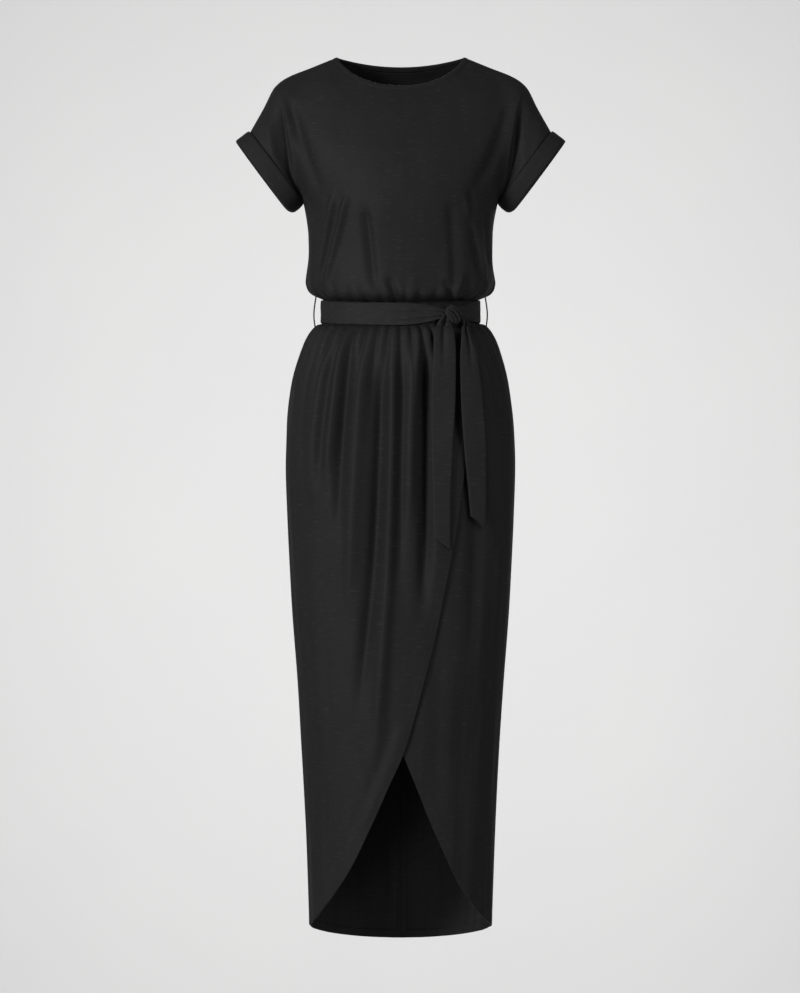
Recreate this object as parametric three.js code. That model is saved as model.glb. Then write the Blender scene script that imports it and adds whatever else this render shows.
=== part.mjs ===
// Wrap dress in soft black jersey, filled out with no wearer and held up at the shoulders.
// Millimetres. +Z is up, the front of the dress faces -Y and the viewer's right is +X.
// The origin lies midway between the two points where the shoulder seams meet the neck.
// Every panel is a wall of cloth round a hollow. A panel's smooth form comes from a table of
// level sections, and its gathers and folds are lifts along the normal of that smooth form.

import * as THREE from 'three';

// Driving sizes
const CLOTH = 1.6;
const SEAM_GAP = 0.3;
const NECK_HALF_WIDTH = 97.6;
const NECK_BAND_WIDTH = 7.7;
const FRONT_NECK_DROP = 50;
const BACK_NECK_DROP = 10;
const WAIST_HEIGHT = -392;
const WAIST_DIP = 8.5;
const WAIST_DIP_REACH = 120;
const BELT_CLEARANCE = 2.6;
const BELT_CLOTH = 2.4;
const UNDER_BELT_LIFT = 1.7;
const SIDE_HEM = -1340;
const BACK_HEM_DROP = 34;
const CUFF_WIDTH = 27;
const LOOP_THREAD = 1.8;

const FRONT = -1;
const BACK = 1;
const DEGREE = Math.PI / 180;

// Colours
const JERSEY_COLOUR = 0x242424;
const TRIM_COLOUR = 0x222222;
const THREAD_COLOUR = 0x1b1b1b;

// Outline of one shoulder and overarm, from the neck out to the cuff
const SHOULDER_LINE = [
  { x: 97.6, z: 0 },
  { x: 137, z: -16 },
  { x: 176, z: -32 },
  { x: 194, z: -46 },
  { x: 212, z: -80 },
  { x: 232.3, z: -116 },
];

// Ends of the seam where the sleeve meets its cuff, seen from the front
const CUFF_TOP = { x: 232.3, z: -116 };
const CUFF_UNDER = { x: 150, z: -226 };
const SLEEVE_HALF_DEPTH = 46;

// Level sections of the bodice. Above the underarm, half_width is the body's own width,
// where it drapes over the sleeve.
const BODICE_SECTIONS = [
  { z: 60, half_width: 160, front: 10, back: 20 },
  { z: 0, half_width: 168, front: 16, back: 30 },
  { z: -10, half_width: 172, front: 24, back: 38 },
  { z: -30, half_width: 180, front: 41, back: 58 },
  { z: -50, half_width: 186, front: 55, back: 72 },
  { z: -100, half_width: 187, front: 85, back: 90 },
  { z: -160, half_width: 174, front: 109, back: 98 },
  { z: -210, half_width: 157, front: 118, back: 97 },
  { z: -229, half_width: 149.5, front: 118, back: 94 },
  { z: -275, half_width: 142.5, front: 114, back: 92 },
  { z: -310, half_width: 142, front: 112, back: 95 },
  { z: -346, half_width: 144, front: 112, back: 97 },
  { z: -357, half_width: 141, front: 109, back: 95 },
  { z: -364, half_width: 135, front: 104, back: 93 },
  { z: -370, half_width: 127, front: 96, back: 89 },
  { z: -375, half_width: 119, front: 89, back: 85 },
  { z: -392, half_width: 118.6, front: 88.6, back: 84.6 },
];

// Level sections of the skirt
const SKIRT_SECTIONS = [
  { z: -392, half_width: 118.6, front: 88.6, back: 84.6 },
  { z: -411.5, half_width: 118.8, front: 88.8, back: 84.8 },
  { z: -416.5, half_width: 127, front: 94, back: 92 },
  { z: -429, half_width: 138, front: 100, back: 102 },
  { z: -452, half_width: 149, front: 104, back: 112 },
  { z: -506, half_width: 166, front: 110, back: 121 },
  { z: -572, half_width: 175, front: 113, back: 125 },
  { z: -629, half_width: 177.5, front: 113, back: 124 },
  { z: -700, half_width: 175.5, front: 112, back: 121 },
  { z: -777, half_width: 172, front: 111, back: 118 },
  { z: -850, half_width: 168, front: 110, back: 115 },
  { z: -974, half_width: 158.5, front: 108, back: 110 },
  { z: -1077, half_width: 152, front: 106, back: 107 },
  { z: -1201, half_width: 146, front: 103, back: 104 },
  { z: -1380, half_width: 140, front: 100, back: 100 },
];

// Free edge of the front skirt panel that lies on top, from the waist to the left hem corner.
const WRAP_EDGE = [
  { z: -392, x: 106 },
  { z: -638, x: 97 },
  { z: -695, x: 90 },
  { z: -741, x: 83 },
  { z: -797, x: 72 },
  { z: -838, x: 64 },
  { z: -899, x: 51.5 },
  { z: -947, x: 39 },
  { z: -1008, x: 23 },
  { z: -1067, x: 5 },
  { z: -1121, x: -19 },
  { z: -1186, x: -48 },
  { z: -1251, x: -80 },
  { z: -1287, x: -104 },
  { z: -1330, x: -134 },
  { z: -1340, x: -141.4 },
];

// Free edge of the panel underneath, which comes out from behind the other one near the knee
const UNDER_EDGE = [
  { z: -392, x: -98 },
  { z: -638, x: -89 },
  { z: -695, x: -82 },
  { z: -741, x: -75 },
  { z: -797, x: -64 },
  { z: -838, x: -56 },
  { z: -899, x: -43.5 },
  { z: -947, x: -31 },
  { z: -1008, x: -15 },
  { z: -1067, x: 3 },
  { z: -1130, x: 28.5 },
  { z: -1175, x: 46.8 },
  { z: -1214, x: 64 },
  { z: -1257, x: 84 },
  { z: -1287, x: 101 },
  { z: -1324, x: 128.5 },
  { z: -1340, x: 141.4 },
];

// Gathers of the front skirt from the left side seam to the right one: where each one ends,
// its height, and how far down it fades
const SKIRT_FRONT_GATHERS = [
  { until: -79, height: 4.2, fade: 52 },
  { until: -69, height: 5.0, fade: 70 },
  { until: -59, height: 4.4, fade: 48 },
  { until: -49, height: 5.2, fade: 90 },
  { until: -40, height: 4.0, fade: 60 },
  { until: -31, height: 4.4, fade: 74 },
  { until: -23, height: 3.6, fade: 48 },
  { until: -15, height: 4.4, fade: 110 },
  { until: -8, height: 3.6, fade: 66 },
  { until: 0, height: 4.0, fade: 96 },
  { until: 7, height: 3.4, fade: 52 },
  { until: 14, height: 3.8, fade: 84 },
  { until: 21, height: 3.4, fade: 60 },
  { until: 29, height: 3.8, fade: 76 },
  { until: 37, height: 4.0, fade: 56 },
  { until: 46, height: 4.2, fade: 64 },
  { until: 56, height: 4.6, fade: 50 },
  { until: 67, height: 4.6, fade: 72 },
  { until: 78, height: 5.0, fade: 54 },
  { until: 90, height: 4.4, fade: 62 },
];

// Long folds of the front skirt, each a soft ridge, or a trough where its height is negative.
// Its middle line runs through three points seen from the front.
const SKIRT_FRONT_FOLDS = [
  { top: [-78, -418], middle: [-89, -483], bottom: [-115, -670], width: 12, height: 6 },
  { top: [-70, -420], middle: [-80, -483], bottom: [-94, -760], width: 9, height: -4.5 },
  { top: [-56, -420], middle: [-66, -585], bottom: [-79, -880], width: 12, height: 6 },
  { top: [-14, -420], middle: [-14, -620], bottom: [-45, -1130], width: 12, height: 5.5 },
  { top: [-29, -440], middle: [-33, -628], bottom: [-72, -1050], width: 12, height: -4.5 },
  { top: [24, -424], middle: [18, -512], bottom: [13, -760], width: 9, height: 6 },
  { top: [35, -420], middle: [41, -560], bottom: [29, -900], width: 10, height: -8 },
  { top: [60, -430], middle: [64, -570], bottom: [58, -760], width: 14, height: 3 },
  { top: [120, -440], middle: [134, -560], bottom: [138, -760], width: 14, height: 3.5 },
  { top: [96, -440], middle: [116, -640], bottom: [104, -960], width: 14, height: -3 },
];

// Long folds of the skirt back, in the same form
const SKIRT_BACK_FOLDS = [
  { top: [-104, -430], middle: [-128, -560], bottom: [-134, -820], width: 14, height: 4 },
  { top: [-78, -430], middle: [-100, -600], bottom: [-108, -900], width: 12, height: -4 },
  { top: [-52, -430], middle: [-64, -640], bottom: [-60, -1050], width: 14, height: 5 },
  { top: [-28, -430], middle: [-33, -560], bottom: [-30, -800], width: 10, height: -4 },
  { top: [24, -430], middle: [33, -600], bottom: [40, -920], width: 13, height: 4.5 },
  { top: [50, -430], middle: [66, -620], bottom: [74, -1000], width: 12, height: -4.5 },
  { top: [80, -430], middle: [98, -580], bottom: [100, -780], width: 12, height: 4 },
  { top: [106, -430], middle: [130, -620], bottom: [132, -980], width: 14, height: 4 },
];

// Gathers where the bodice meets the waist, from its left side seam to its right one
const BODICE_FRONT_GATHERS = [
  { until: -79, height: 4.0, fade: 26 },
  { until: -68, height: 5.0, fade: 52 },
  { until: -57, height: 4.2, fade: 34 },
  { until: -46, height: 4.6, fade: 62 },
  { until: -35, height: 4.0, fade: 30 },
  { until: -24, height: 4.6, fade: 24 },
  { until: -13, height: 3.8, fade: 34 },
  { until: -5, height: 3.6, fade: 30 },
  { until: 3, height: 3.8, fade: 26 },
  { until: 12, height: 4.0, fade: 36 },
  { until: 23, height: 4.4, fade: 24 },
  { until: 34, height: 4.8, fade: 46 },
  { until: 46, height: 4.4, fade: 58 },
  { until: 59, height: 4.6, fade: 34 },
  { until: 74, height: 5.0, fade: 60 },
  { until: 90, height: 4.2, fade: 30 },
];

// Long folds of the bodice front, rising from the waist and towards the underarms
const BODICE_FRONT_FOLDS = [
  { top: [-100, -208], middle: [-111, -272], bottom: [-131, -358], width: 8, height: 4 },
  { top: [-80, -212], middle: [-97, -290], bottom: [-122, -360], width: 8, height: 4 },
  { top: [-55, -236], middle: [-47, -300], bottom: [-38, -360], width: 8, height: -4.5 },
  { top: [97, -218], middle: [117, -290], bottom: [132, -352], width: 9, height: 3.4 },
  { top: [106, -206], middle: [110, -270], bottom: [124, -350], width: 8, height: -3.5 },
  { top: [75, -225], middle: [81, -290], bottom: [84, -352], width: 10, height: -3 },
  { top: [96, -330], middle: [86, -354], bottom: [72, -384], width: 6, height: 3 },
  { top: [-172, -62], middle: [-152, -138], bottom: [-118, -226], width: 15, height: -4 },
  { top: [168, -62], middle: [145, -150], bottom: [108, -226], width: 15, height: -3.5 },
];

// Long folds of the bodice back
const BODICE_BACK_FOLDS = [
  { top: [-100, -190], middle: [-112, -262], bottom: [-118, -350], width: 11, height: 3.4 },
  { top: [-66, -240], middle: [-72, -300], bottom: [-70, -352], width: 10, height: 3.2 },
  { top: [-20, -270], middle: [-24, -315], bottom: [-20, -352], width: 9, height: -2.8 },
  { top: [36, -250], middle: [42, -305], bottom: [44, -352], width: 10, height: 3.2 },
  { top: [92, -200], middle: [104, -270], bottom: [116, -350], width: 11, height: 3.6 },
];

// Top and bottom edges of the belt round the waist. The angle runs from behind the knot, past
// the right side seam at 90, the centre back at 180 and the left side seam at 270, and back.
const BELT_EDGES = [
  { angle: 40.6, top: -391, bottom: -407 },
  { angle: 49.3, top: -387.5, bottom: -408 },
  { angle: 60, top: -382.5, bottom: -410.5 },
  { angle: 75, top: -377.5, bottom: -411.5 },
  { angle: 90, top: -376.2, bottom: -411 },
  { angle: 180, top: -376.2, bottom: -411 },
  { angle: 270, top: -376.2, bottom: -411 },
  { angle: 315, top: -382.4, bottom: -416.6 },
  { angle: 360, top: -384.8, bottom: -419 },
  { angle: 375, top: -386.5, bottom: -416 },
  { angle: 385, top: -390.5, bottom: -411 },
  { angle: 388.3, top: -392, bottom: -409 },
  { angle: 397, top: -394, bottom: -408 },
];
const KNOT_ANGLE = 38.8;
const KNOT_HEIGHT = -402;

// Edges of the two belt tails, from under the knot down to the slanted ends
const TAIL_FRONT_EDGES = [
  { z: -411.5, left: 61, right: 72.5 },
  { z: -418, left: 55.5, right: 74 },
  { z: -426, left: 51, right: 76 },
  { z: -437, left: 48.5, right: 78 },
  { z: -457, left: 47.3, right: 80 },
  { z: -530, left: 45, right: 80.5 },
  { z: -610, left: 46, right: 77 },
  { z: -693, left: 48, right: 74 },
  { z: -760, left: 51, right: 75 },
];
const TAIL_SIDE_EDGES = [
  { z: -411.5, left: 84, right: 92 },
  { z: -424, left: 87, right: 95.5 },
  { z: -437, left: 89, right: 102 },
  { z: -465, left: 89, right: 112 },
  { z: -530, left: 90.5, right: 122 },
  { z: -612, left: 95, right: 127 },
  { z: -665, left: 101, right: 127.5 },
  { z: -728, left: 108, right: 128 },
];

// A smooth curve through the rows of a table, from one named column to another. It is a cubic
// between rows, level where the rows turn back, so that it never overshoots them.
function tableCurve(rows, input, output) {
  const points = rows.map((row) => [row[input], row[output]]).sort((a, b) => a[0] - b[0]);
  const last = points.length - 1;
  const rise = (i) => (points[i + 1][1] - points[i][1]) / (points[i + 1][0] - points[i][0]);
  const slopes = points.map((point, i) => {
    if (i === 0) return rise(0);
    if (i === last) return rise(last - 1);
    const product = rise(i - 1) * rise(i);
    return product <= 0 ? 0 : (2 * product) / (rise(i - 1) + rise(i));
  });
  return (value) => {
    if (value <= points[0][0]) return points[0][1];
    if (value >= points[last][0]) return points[last][1];
    const i = points.findIndex((point) => point[0] > value) - 1;
    const span = points[i + 1][0] - points[i][0];
    const t = (value - points[i][0]) / span;
    const bend0 = span * slopes[i];
    const bend1 = span * slopes[i + 1];
    const change = points[i + 1][1] - points[i][1];
    return points[i][1] + bend0 * t + (3 * change - 2 * bend0 - bend1) * t * t
      + (bend0 + bend1 - 2 * change) * t * t * t;
  };
}

const mix = THREE.MathUtils.lerp;
const clamp = THREE.MathUtils.clamp;
const smoothstep = THREE.MathUtils.smoothstep;

// The three widths of a table of level sections, as functions of height
function sectionCurves(rows) {
  return {
    halfWidth: tableCurve(rows, 'z', 'half_width'),
    front: tableCurve(rows, 'z', 'front'),
    back: tableCurve(rows, 'z', 'back'),
  };
}
const bodice = sectionCurves(BODICE_SECTIONS);
const skirt = sectionCurves(SKIRT_SECTIONS);
const depthOn = (sections, side, z) => (side === FRONT ? sections.front(z) : sections.back(z));

// How much lower the waist line hangs in front than at the sides, fading away from the waist
function waistDip(angle, z, side) {
  if (side === BACK) return 0;
  const fade = 1 - smoothstep(Math.abs(z - WAIST_HEIGHT), 28, WAIST_DIP_REACH);
  return WAIST_DIP * Math.max(0, Math.cos(angle)) * fade;
}

// Lift of the long folds at one place. A fold's middle line is a parabola through its three
// points, its section is a bell, and it fades in and out over its first and last fifth.
function foldLift(folds, angle, z, sections, side) {
  let lift = 0;
  for (const { top, middle, bottom, width, height } of folds) {
    const along = clamp((top[1] - z) / (top[1] - bottom[1]), 0, 1);
    const turn = (top[1] - middle[1]) / (top[1] - bottom[1]);
    const bend = (middle[0] - mix(top[0], bottom[0], turn)) / (turn * (1 - turn));
    const middleX = mix(top[0], bottom[0], along) + bend * along * (1 - along);
    const middleAngle = Math.asin(clamp(middleX / sections.halfWidth(z), -1, 1));
    const radius = (sections.halfWidth(z) + depthOn(sections, side, z)) / 2;
    const across = ((angle - middleAngle) * radius) / width;
    const ends = smoothstep(along, 0, 0.2) * (1 - smoothstep(along, 0.7, 1));
    lift += height * ends * Math.exp(-across * across);
  }
  return lift * smoothstep(90 - Math.abs(angle / DEGREE), 0, 12);
}

// Gathers from a table: the angle of the valley at each end of every gather
function valleys(gathers) {
  return [-90, ...gathers.map((gather) => gather.until)];
}

// The angle of a place counted in gathers, so that 2.5 is the crest of the third gather
function gatherAngle(gathers, place) {
  const edges = valleys(gathers);
  const index = clamp(Math.floor(place), 0, gathers.length - 1);
  return mix(edges[index], edges[index + 1], place - index) * DEGREE;
}

// Height and fade of the gather at an angle, and how far across it the angle lies
function gatherAt(gathers, angle) {
  const edges = valleys(gathers);
  const degrees = clamp(angle / DEGREE, -90, 89.999);
  const index = edges.findIndex((edge) => edge > degrees) - 1;
  const phase = (degrees - edges[index]) / (edges[index + 1] - edges[index]);
  return { ...gathers[index], crest: (1 - Math.cos(2 * Math.PI * phase)) / 2 };
}

// Back gathers are as many as fit the table's length, uneven in width and height
function unevenGathers(count, height, fade) {
  return Array.from({ length: count }, (unused, i) => ({
    until: i === count - 1 ? 90 : -90 + (180 / count) * (i + 1 + 0.2 * Math.sin(2.3 * i + 1)),
    height: height * (1 + 0.16 * Math.sin(3.1 * i)),
    fade: fade * (1 + 0.35 * Math.sin(1.9 * i + 2)),
  }));
}
const SKIRT_BACK_GATHERS = unevenGathers(16, 5, 66);
SKIRT_BACK_GATHERS[7].until = 0;
const BODICE_BACK_GATHERS = unevenGathers(16, 4.6, 40);

// Lift of a gather below the belt: low under the belt, full just below it, fading downwards
function skirtGatherLift(gathers, angle, z) {
  const { height, fade, crest } = gatherAt(gathers, angle);
  const drop = WAIST_HEIGHT - 24 - z;
  const full = height * Math.exp(-((Math.max(0, drop) / (1.7 * fade)) ** 2));
  return crest * mix(UNDER_BELT_LIFT, full, smoothstep(drop, -4.5, 3));
}

// Lift of a gather above the belt, fading upwards
function bodiceGatherLift(gathers, angle, z) {
  const { height, fade, crest } = gatherAt(gathers, angle);
  const rise = z - (WAIST_HEIGHT + 22);
  const full = height * Math.exp(-((Math.max(0, rise) / fade) ** 2));
  return crest * mix(UNDER_BELT_LIFT, full, smoothstep(rise, -4, 8));
}

// Unit normal of a surface given as a function of two numbers, facing away from the hollow.
// A flat direction, if given, is taken out of it so that an edge closes square to that axis.
function surfaceNormal(surface, a, b, stepA, stepB, flat) {
  const along = surface(a + stepA, b).sub(surface(a - stepA, b));
  const down = surface(a, b + stepB).sub(surface(a, b - stepB));
  const normal = new THREE.Vector3().crossVectors(along, down);
  if (flat) normal[flat] = 0;
  normal.normalize();
  return normal;
}

// Triangles of one surface laid out in rows of points. Neighbouring rows have as many points
// as each other, or one has two cells where the other has one.
function gridTriangles(counts) {
  const triangles = [];
  let start = 0;
  for (let row = 0; row + 1 < counts.length; row++) {
    const next = start + counts[row];
    const cells = Math.min(counts[row], counts[row + 1]) - 1;
    for (let i = 0; i < cells; i++) {
      if (counts[row] === counts[row + 1]) {
        triangles.push([start + i, next + i, start + i + 1]);
        triangles.push([start + i + 1, next + i, next + i + 1]);
      } else if (counts[row] > counts[row + 1]) {
        triangles.push([start + 2 * i, next + i, start + 2 * i + 1]);
        triangles.push([start + 2 * i + 1, next + i, next + i + 1]);
        triangles.push([start + 2 * i + 1, next + i + 1, start + 2 * i + 2]);
      } else {
        triangles.push([start + i, next + 2 * i, next + 2 * i + 1]);
        triangles.push([start + i, next + 2 * i + 1, start + i + 1]);
        triangles.push([start + i + 1, next + 2 * i + 1, next + 2 * i + 2]);
      }
    }
    start = next;
  }
  return triangles;
}

// Turns points and triangles into a mesh whose faces point out
function solid(name, points, triangles, material) {
  let volume = 0;
  for (const [a, b, c] of triangles) {
    volume += points[a].dot(new THREE.Vector3().crossVectors(points[b], points[c]));
  }
  const faces = volume < 0 ? triangles.map(([a, b, c]) => [a, c, b]) : triangles;
  const geometry = new THREE.BufferGeometry();
  geometry.setAttribute(
    'position',
    new THREE.Float32BufferAttribute(points.flatMap((point) => point.toArray()), 3),
  );
  geometry.setIndex(faces.flat());
  geometry.computeVertexNormals();
  const mesh = new THREE.Mesh(geometry, material);
  mesh.name = name;
  return mesh;
}

// A closed wall of cloth: the rows give each outer point and the way to the hollow side.
// The rim joins the outer and inner surfaces along every free edge.
function clothWall(name, rows, thickness, material) {
  const cells = rows.flat();
  const outer = cells.map(({ point, normal, lift }) => point.clone().addScaledVector(normal, lift));
  const inner = cells.map(({ point, normal, lift }) => (
    point.clone().addScaledVector(normal, lift - thickness)
  ));
  const count = cells.length;
  const skin = gridTriangles(rows.map((row) => row.length));
  const lining = skin.map(([a, b, c]) => [a + count, c + count, b + count]);
  const edges = new Set(skin.flatMap(([a, b, c]) => [`${a} ${b}`, `${b} ${c}`, `${c} ${a}`]));
  const rim = [];
  for (const [a, b, c] of skin) {
    for (const [from, to] of [[a, b], [b, c], [c, a]]) {
      if (!edges.has(`${to} ${from}`)) {
        rim.push([to, from, from + count], [to, from + count, to + count]);
      }
    }
  }
  return solid(name, [...outer, ...inner], [...skin, ...lining, ...rim], material);
}

// A solid swept through closed sections of equal length, either back to its start or capped
function sweptSolid(name, sections, closed, material) {
  const size = sections[0].length;
  const steps = closed ? sections.length : sections.length - 1;
  const triangles = [];
  for (let i = 0; i < steps; i++) {
    const here = i * size;
    const there = ((i + 1) % sections.length) * size;
    for (let j = 0; j < size; j++) {
      const k = (j + 1) % size;
      triangles.push([here + j, there + j, here + k], [here + k, there + j, there + k]);
    }
  }
  if (!closed) {
    const end = (sections.length - 1) * size;
    for (let j = 1; j + 1 < size; j++) {
      triangles.push([0, j, j + 1], [end, end + j + 1, end + j]);
    }
  }
  return solid(name, sections.flat(), triangles, material);
}

// Materials
const jersey = new THREE.MeshStandardMaterial({ color: JERSEY_COLOUR, roughness: 0.92, metalness: 0 });
const trim = new THREE.MeshStandardMaterial({ color: TRIM_COLOUR, roughness: 0.9, metalness: 0 });
const thread = new THREE.MeshStandardMaterial({ color: THREAD_COLOUR, roughness: 0.8, metalness: 0 });

// Bodice, front and back, each with its half of both sleeves. Columns are counted in gathers
// from the left side to the right. Rows 0 to 8 end on the cuff, and the rest on the side seam.
const CUFF_ROWS = 8;
const SIDE_ROWS = [-226, -256, -288, -320, -344, -359, -368, -375, WAIST_HEIGHT + SEAM_GAP / 2];
const BODICE_ROWS = CUFF_ROWS + SIDE_ROWS.length - 1;
const FINE_BODICE_ROWS = 4;
const NECK_COLUMNS = 7;
const COLUMNS_PER_SIDE = 16;
const SHOULDER_ROUNDING = 62;
const CHEST_POWER = 2.2;
const shoulderHeight = tableCurve(SHOULDER_LINE, 'x', 'z');
const sideRowHeight = tableCurve(SIDE_ROWS.map((z, i) => ({ row: CUFF_ROWS + i, z })), 'row', 'z');
const neckSeamHalfWidth = NECK_HALF_WIDTH + NECK_BAND_WIDTH;

// Height of the neck edge at x, for a neck of the given half-width and drop below its corners
function neckHeight(x, halfWidth, drop, side) {
  const corner = shoulderHeight(halfWidth);
  const across = clamp(Math.abs(x) / halfWidth, 0, 1);
  const shape = side === FRONT ? (1 - across ** 2.3) ** 0.75 : 1 - across ** 2;
  return corner - (drop + corner) * shape;
}

// Height of the bodice's top edge at x: neck seam in the middle, shoulder and overarm outside
function topEdgeHeight(x, side) {
  const drop = (side === FRONT ? FRONT_NECK_DROP : BACK_NECK_DROP) + NECK_BAND_WIDTH;
  if (Math.abs(x) < neckSeamHalfWidth) return neckHeight(x, neckSeamHalfWidth, drop, side);
  return shoulderHeight(Math.abs(x));
}

// How deep the bodice is at a place seen from the front. Each level section is an ellipse at
// the underarm and a little squarer across the chest, rounded off towards the shoulder line.
function bodyDepth(x, z, side) {
  const width = bodice.halfWidth(z);
  const power = mix(CHEST_POWER, 2, smoothstep(-z, 120, -SIDE_ROWS[0]));
  const across = clamp(Math.abs(x) / width, 0, 1);
  const shoulder = Math.abs(x) < NECK_HALF_WIDTH
    ? 0.5 * (NECK_HALF_WIDTH - Math.abs(x))
    : shoulderHeight(Math.abs(x));
  const below = clamp((shoulder - z) / SHOULDER_ROUNDING, 0, 1);
  const rounding = Math.sqrt(1 - (1 - below) ** 2);
  return depthOn(bodice, side, z) * Math.sqrt(1 - across ** power) * rounding;
}

// A point of the smooth bodice. The body and the sleeve each have their own depth, and the
// larger one wins, which leaves the drape line between them.
function bodicePoint(column, row, side, gathers) {
  const across = column / COLUMNS_PER_SIDE - 1;
  const reach = Math.abs(across);
  const angle = gatherAngle(gathers, (column / COLUMNS_PER_SIDE) * (gathers.length / 2));
  const neckShare = NECK_COLUMNS / COLUMNS_PER_SIDE;
  const topX = reach < neckShare
    ? neckSeamHalfWidth * Math.sin((Math.PI / 2) * (reach / neckShare))
    : mix(neckSeamHalfWidth, CUFF_TOP.x, (reach - neckShare) / (1 - neckShare));
  const sweep = (Math.PI * clamp(row, 0, CUFF_ROWS)) / CUFF_ROWS;
  const alongCuff = (1 - Math.cos(sweep)) / 2;
  const onCuff = row < CUFF_ROWS;
  const sideZ = onCuff ? mix(CUFF_TOP.z, CUFF_UNDER.z, alongCuff) : sideRowHeight(row);
  const sideX = onCuff ? mix(CUFF_TOP.x, CUFF_UNDER.x, alongCuff) : bodice.halfWidth(sideZ);
  const spread = smoothstep(row, 0, CUFF_ROWS);
  const topShare = (Math.sign(across) * topX) / CUFF_TOP.x;
  const x = sideX * mix(topShare, Math.sin(angle), spread);
  const topZ = topEdgeHeight(topX, side);
  const downMiddle = Math.max(0, row / CUFF_ROWS) ** 1.4;
  const underarmZ = SIDE_ROWS[0] - waistDip(angle, SIDE_ROWS[0], side);
  const z = onCuff
    ? mix(topZ, underarmZ, mix(downMiddle, alongCuff, reach ** 3))
    : sideZ - waistDip(angle, sideZ, side);
  const level = onCuff ? z : sideZ;
  const sleeve = SLEEVE_HALF_DEPTH * Math.sin(sweep) * smoothstep(reach, 0.3, 0.8);
  const body = row > CUFF_ROWS
    ? depthOn(bodice, side, level) * Math.cos(angle)
    : bodyDepth(x, level, side);
  const depth = (Math.max(body, 0) ** 7 + sleeve ** 7) ** (1 / 7);
  return new THREE.Vector3(x, side * (SEAM_GAP / 2 + depth), z);
}

// The smooth bodice of one side as a function of column and row
function bodiceSurface(side, gathers) {
  return (column, row) => bodicePoint(
    clamp(column, 0, 2 * COLUMNS_PER_SIDE), clamp(row, 0, BODICE_ROWS), side, gathers,
  );
}

// Outward normal of the bodice. It lies flat along shoulder and side seams, so that front and
// back meet face to face there, square to the sleeve at the cuff and level at the waist.
function bodiceNormal(surface, column, row, side) {
  const reach = Math.abs(column / COLUMNS_PER_SIDE - 1);
  if (reach === 1 && row === CUFF_ROWS) return underarmNormal(Math.sign(column - 1));
  if (reach === 1 && row < CUFF_ROWS) return cuffNormal(row, Math.sign(column - 1), side);
  const onSeam = reach === 1 || (row === 0 && reach >= NECK_COLUMNS / COLUMNS_PER_SIDE);
  const normal = surfaceNormal(surface, column, row, 0.02, 0.02, onSeam ? 'y' : '');
  if (row === BODICE_ROWS) normal.setZ(0).normalize();
  const outwards = row === 0 ? normal.z : normal.x * surface(column, row).x + normal.y * side;
  return outwards < 0 ? normal.negate() : normal;
}

function bodicePanel(name, side, gathers, folds) {
  const surface = bodiceSurface(side, gathers);
  const rows = [];
  for (let row = 0; row <= BODICE_ROWS; row++) {
    const step = row > BODICE_ROWS - FINE_BODICE_ROWS ? 0.5 : 1;
    const cells = [];
    for (let column = 0; column <= 2 * COLUMNS_PER_SIDE; column += step) {
      const point = surface(column, row);
      const normal = bodiceNormal(surface, column, row, side);
      const angle = gatherAngle(gathers, (column / COLUMNS_PER_SIDE) * (gathers.length / 2));
      const level = point.z + waistDip(angle, point.z, side);
      const foldAngle = Math.asin(clamp(point.x / bodice.halfWidth(level), -1, 1));
      const lift = bodiceGatherLift(gathers, angle, level)
        + foldLift(folds, foldAngle, level, bodice, side);
      cells.push({ point, normal, lift });
    }
    rows.push(cells);
  }
  return clothWall(name, rows, CLOTH, jersey);
}

// Way outwards from the sleeve's opening at one of the bodice rows that end on the cuff
function cuffNormal(row, hand, side) {
  const sweep = (Math.PI * row) / CUFF_ROWS;
  const halfLength = cuffLength / 2;
  const along = -Math.cos(sweep) / halfLength;
  const normal = cuffLine(hand).multiplyScalar(along);
  normal.y = (side * Math.sin(sweep)) / SLEEVE_HALF_DEPTH;
  return normal.normalize();
}
const cuffLength = Math.hypot(CUFF_TOP.x - CUFF_UNDER.x, CUFF_TOP.z - CUFF_UNDER.z);

// Unit way along the cuff seam, from the top of the arm to the underarm
function cuffLine(hand) {
  const x = (hand * (CUFF_UNDER.x - CUFF_TOP.x)) / cuffLength;
  return new THREE.Vector3(x, 0, (CUFF_UNDER.z - CUFF_TOP.z) / cuffLength);
}

// Way outwards at the corner of the underarm, halfway between those of the sleeve and of the
// body's side. It is longer than a unit, so that the wall keeps its thickness on both sides.
const UNDERARM_MITRE = 1.5;
function underarmNormal(hand) {
  const away = cuffLine(hand).add(new THREE.Vector3(hand, 0, 0));
  return away.normalize().multiplyScalar(UNDERARM_MITRE);
}

// Turned-up cuff: a folded band round the sleeve's end, swept round the opening's ellipse.
// Its section gives the way out along the sleeve and the height over the sleeve's outside.
// At the underarm, where the body's side starts, it begins flush with the sleeve, and its
// corner there is rounded off.
const CUFF_STEPS = 28;
const CUFF_ROUNDING = 0.24;
const CUFF_SECTION = [
  { out: SEAM_GAP, height: -0.8, underarm: -0.9 },
  { out: SEAM_GAP, height: 2.0, underarm: -0.2 },
  { out: 9, height: 2.7, underarm: 2.3 },
  { out: 19, height: 2.7, underarm: 2.7 },
  { out: CUFF_WIDTH - 1.6, height: 2.2, underarm: 2.2 },
  { out: CUFF_WIDTH, height: 0.7, underarm: 0.7 },
  { out: CUFF_WIDTH - 1.6, height: -0.8, underarm: -0.8 },
  { out: 12, height: -1.0, underarm: -1.0 },
];

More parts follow.
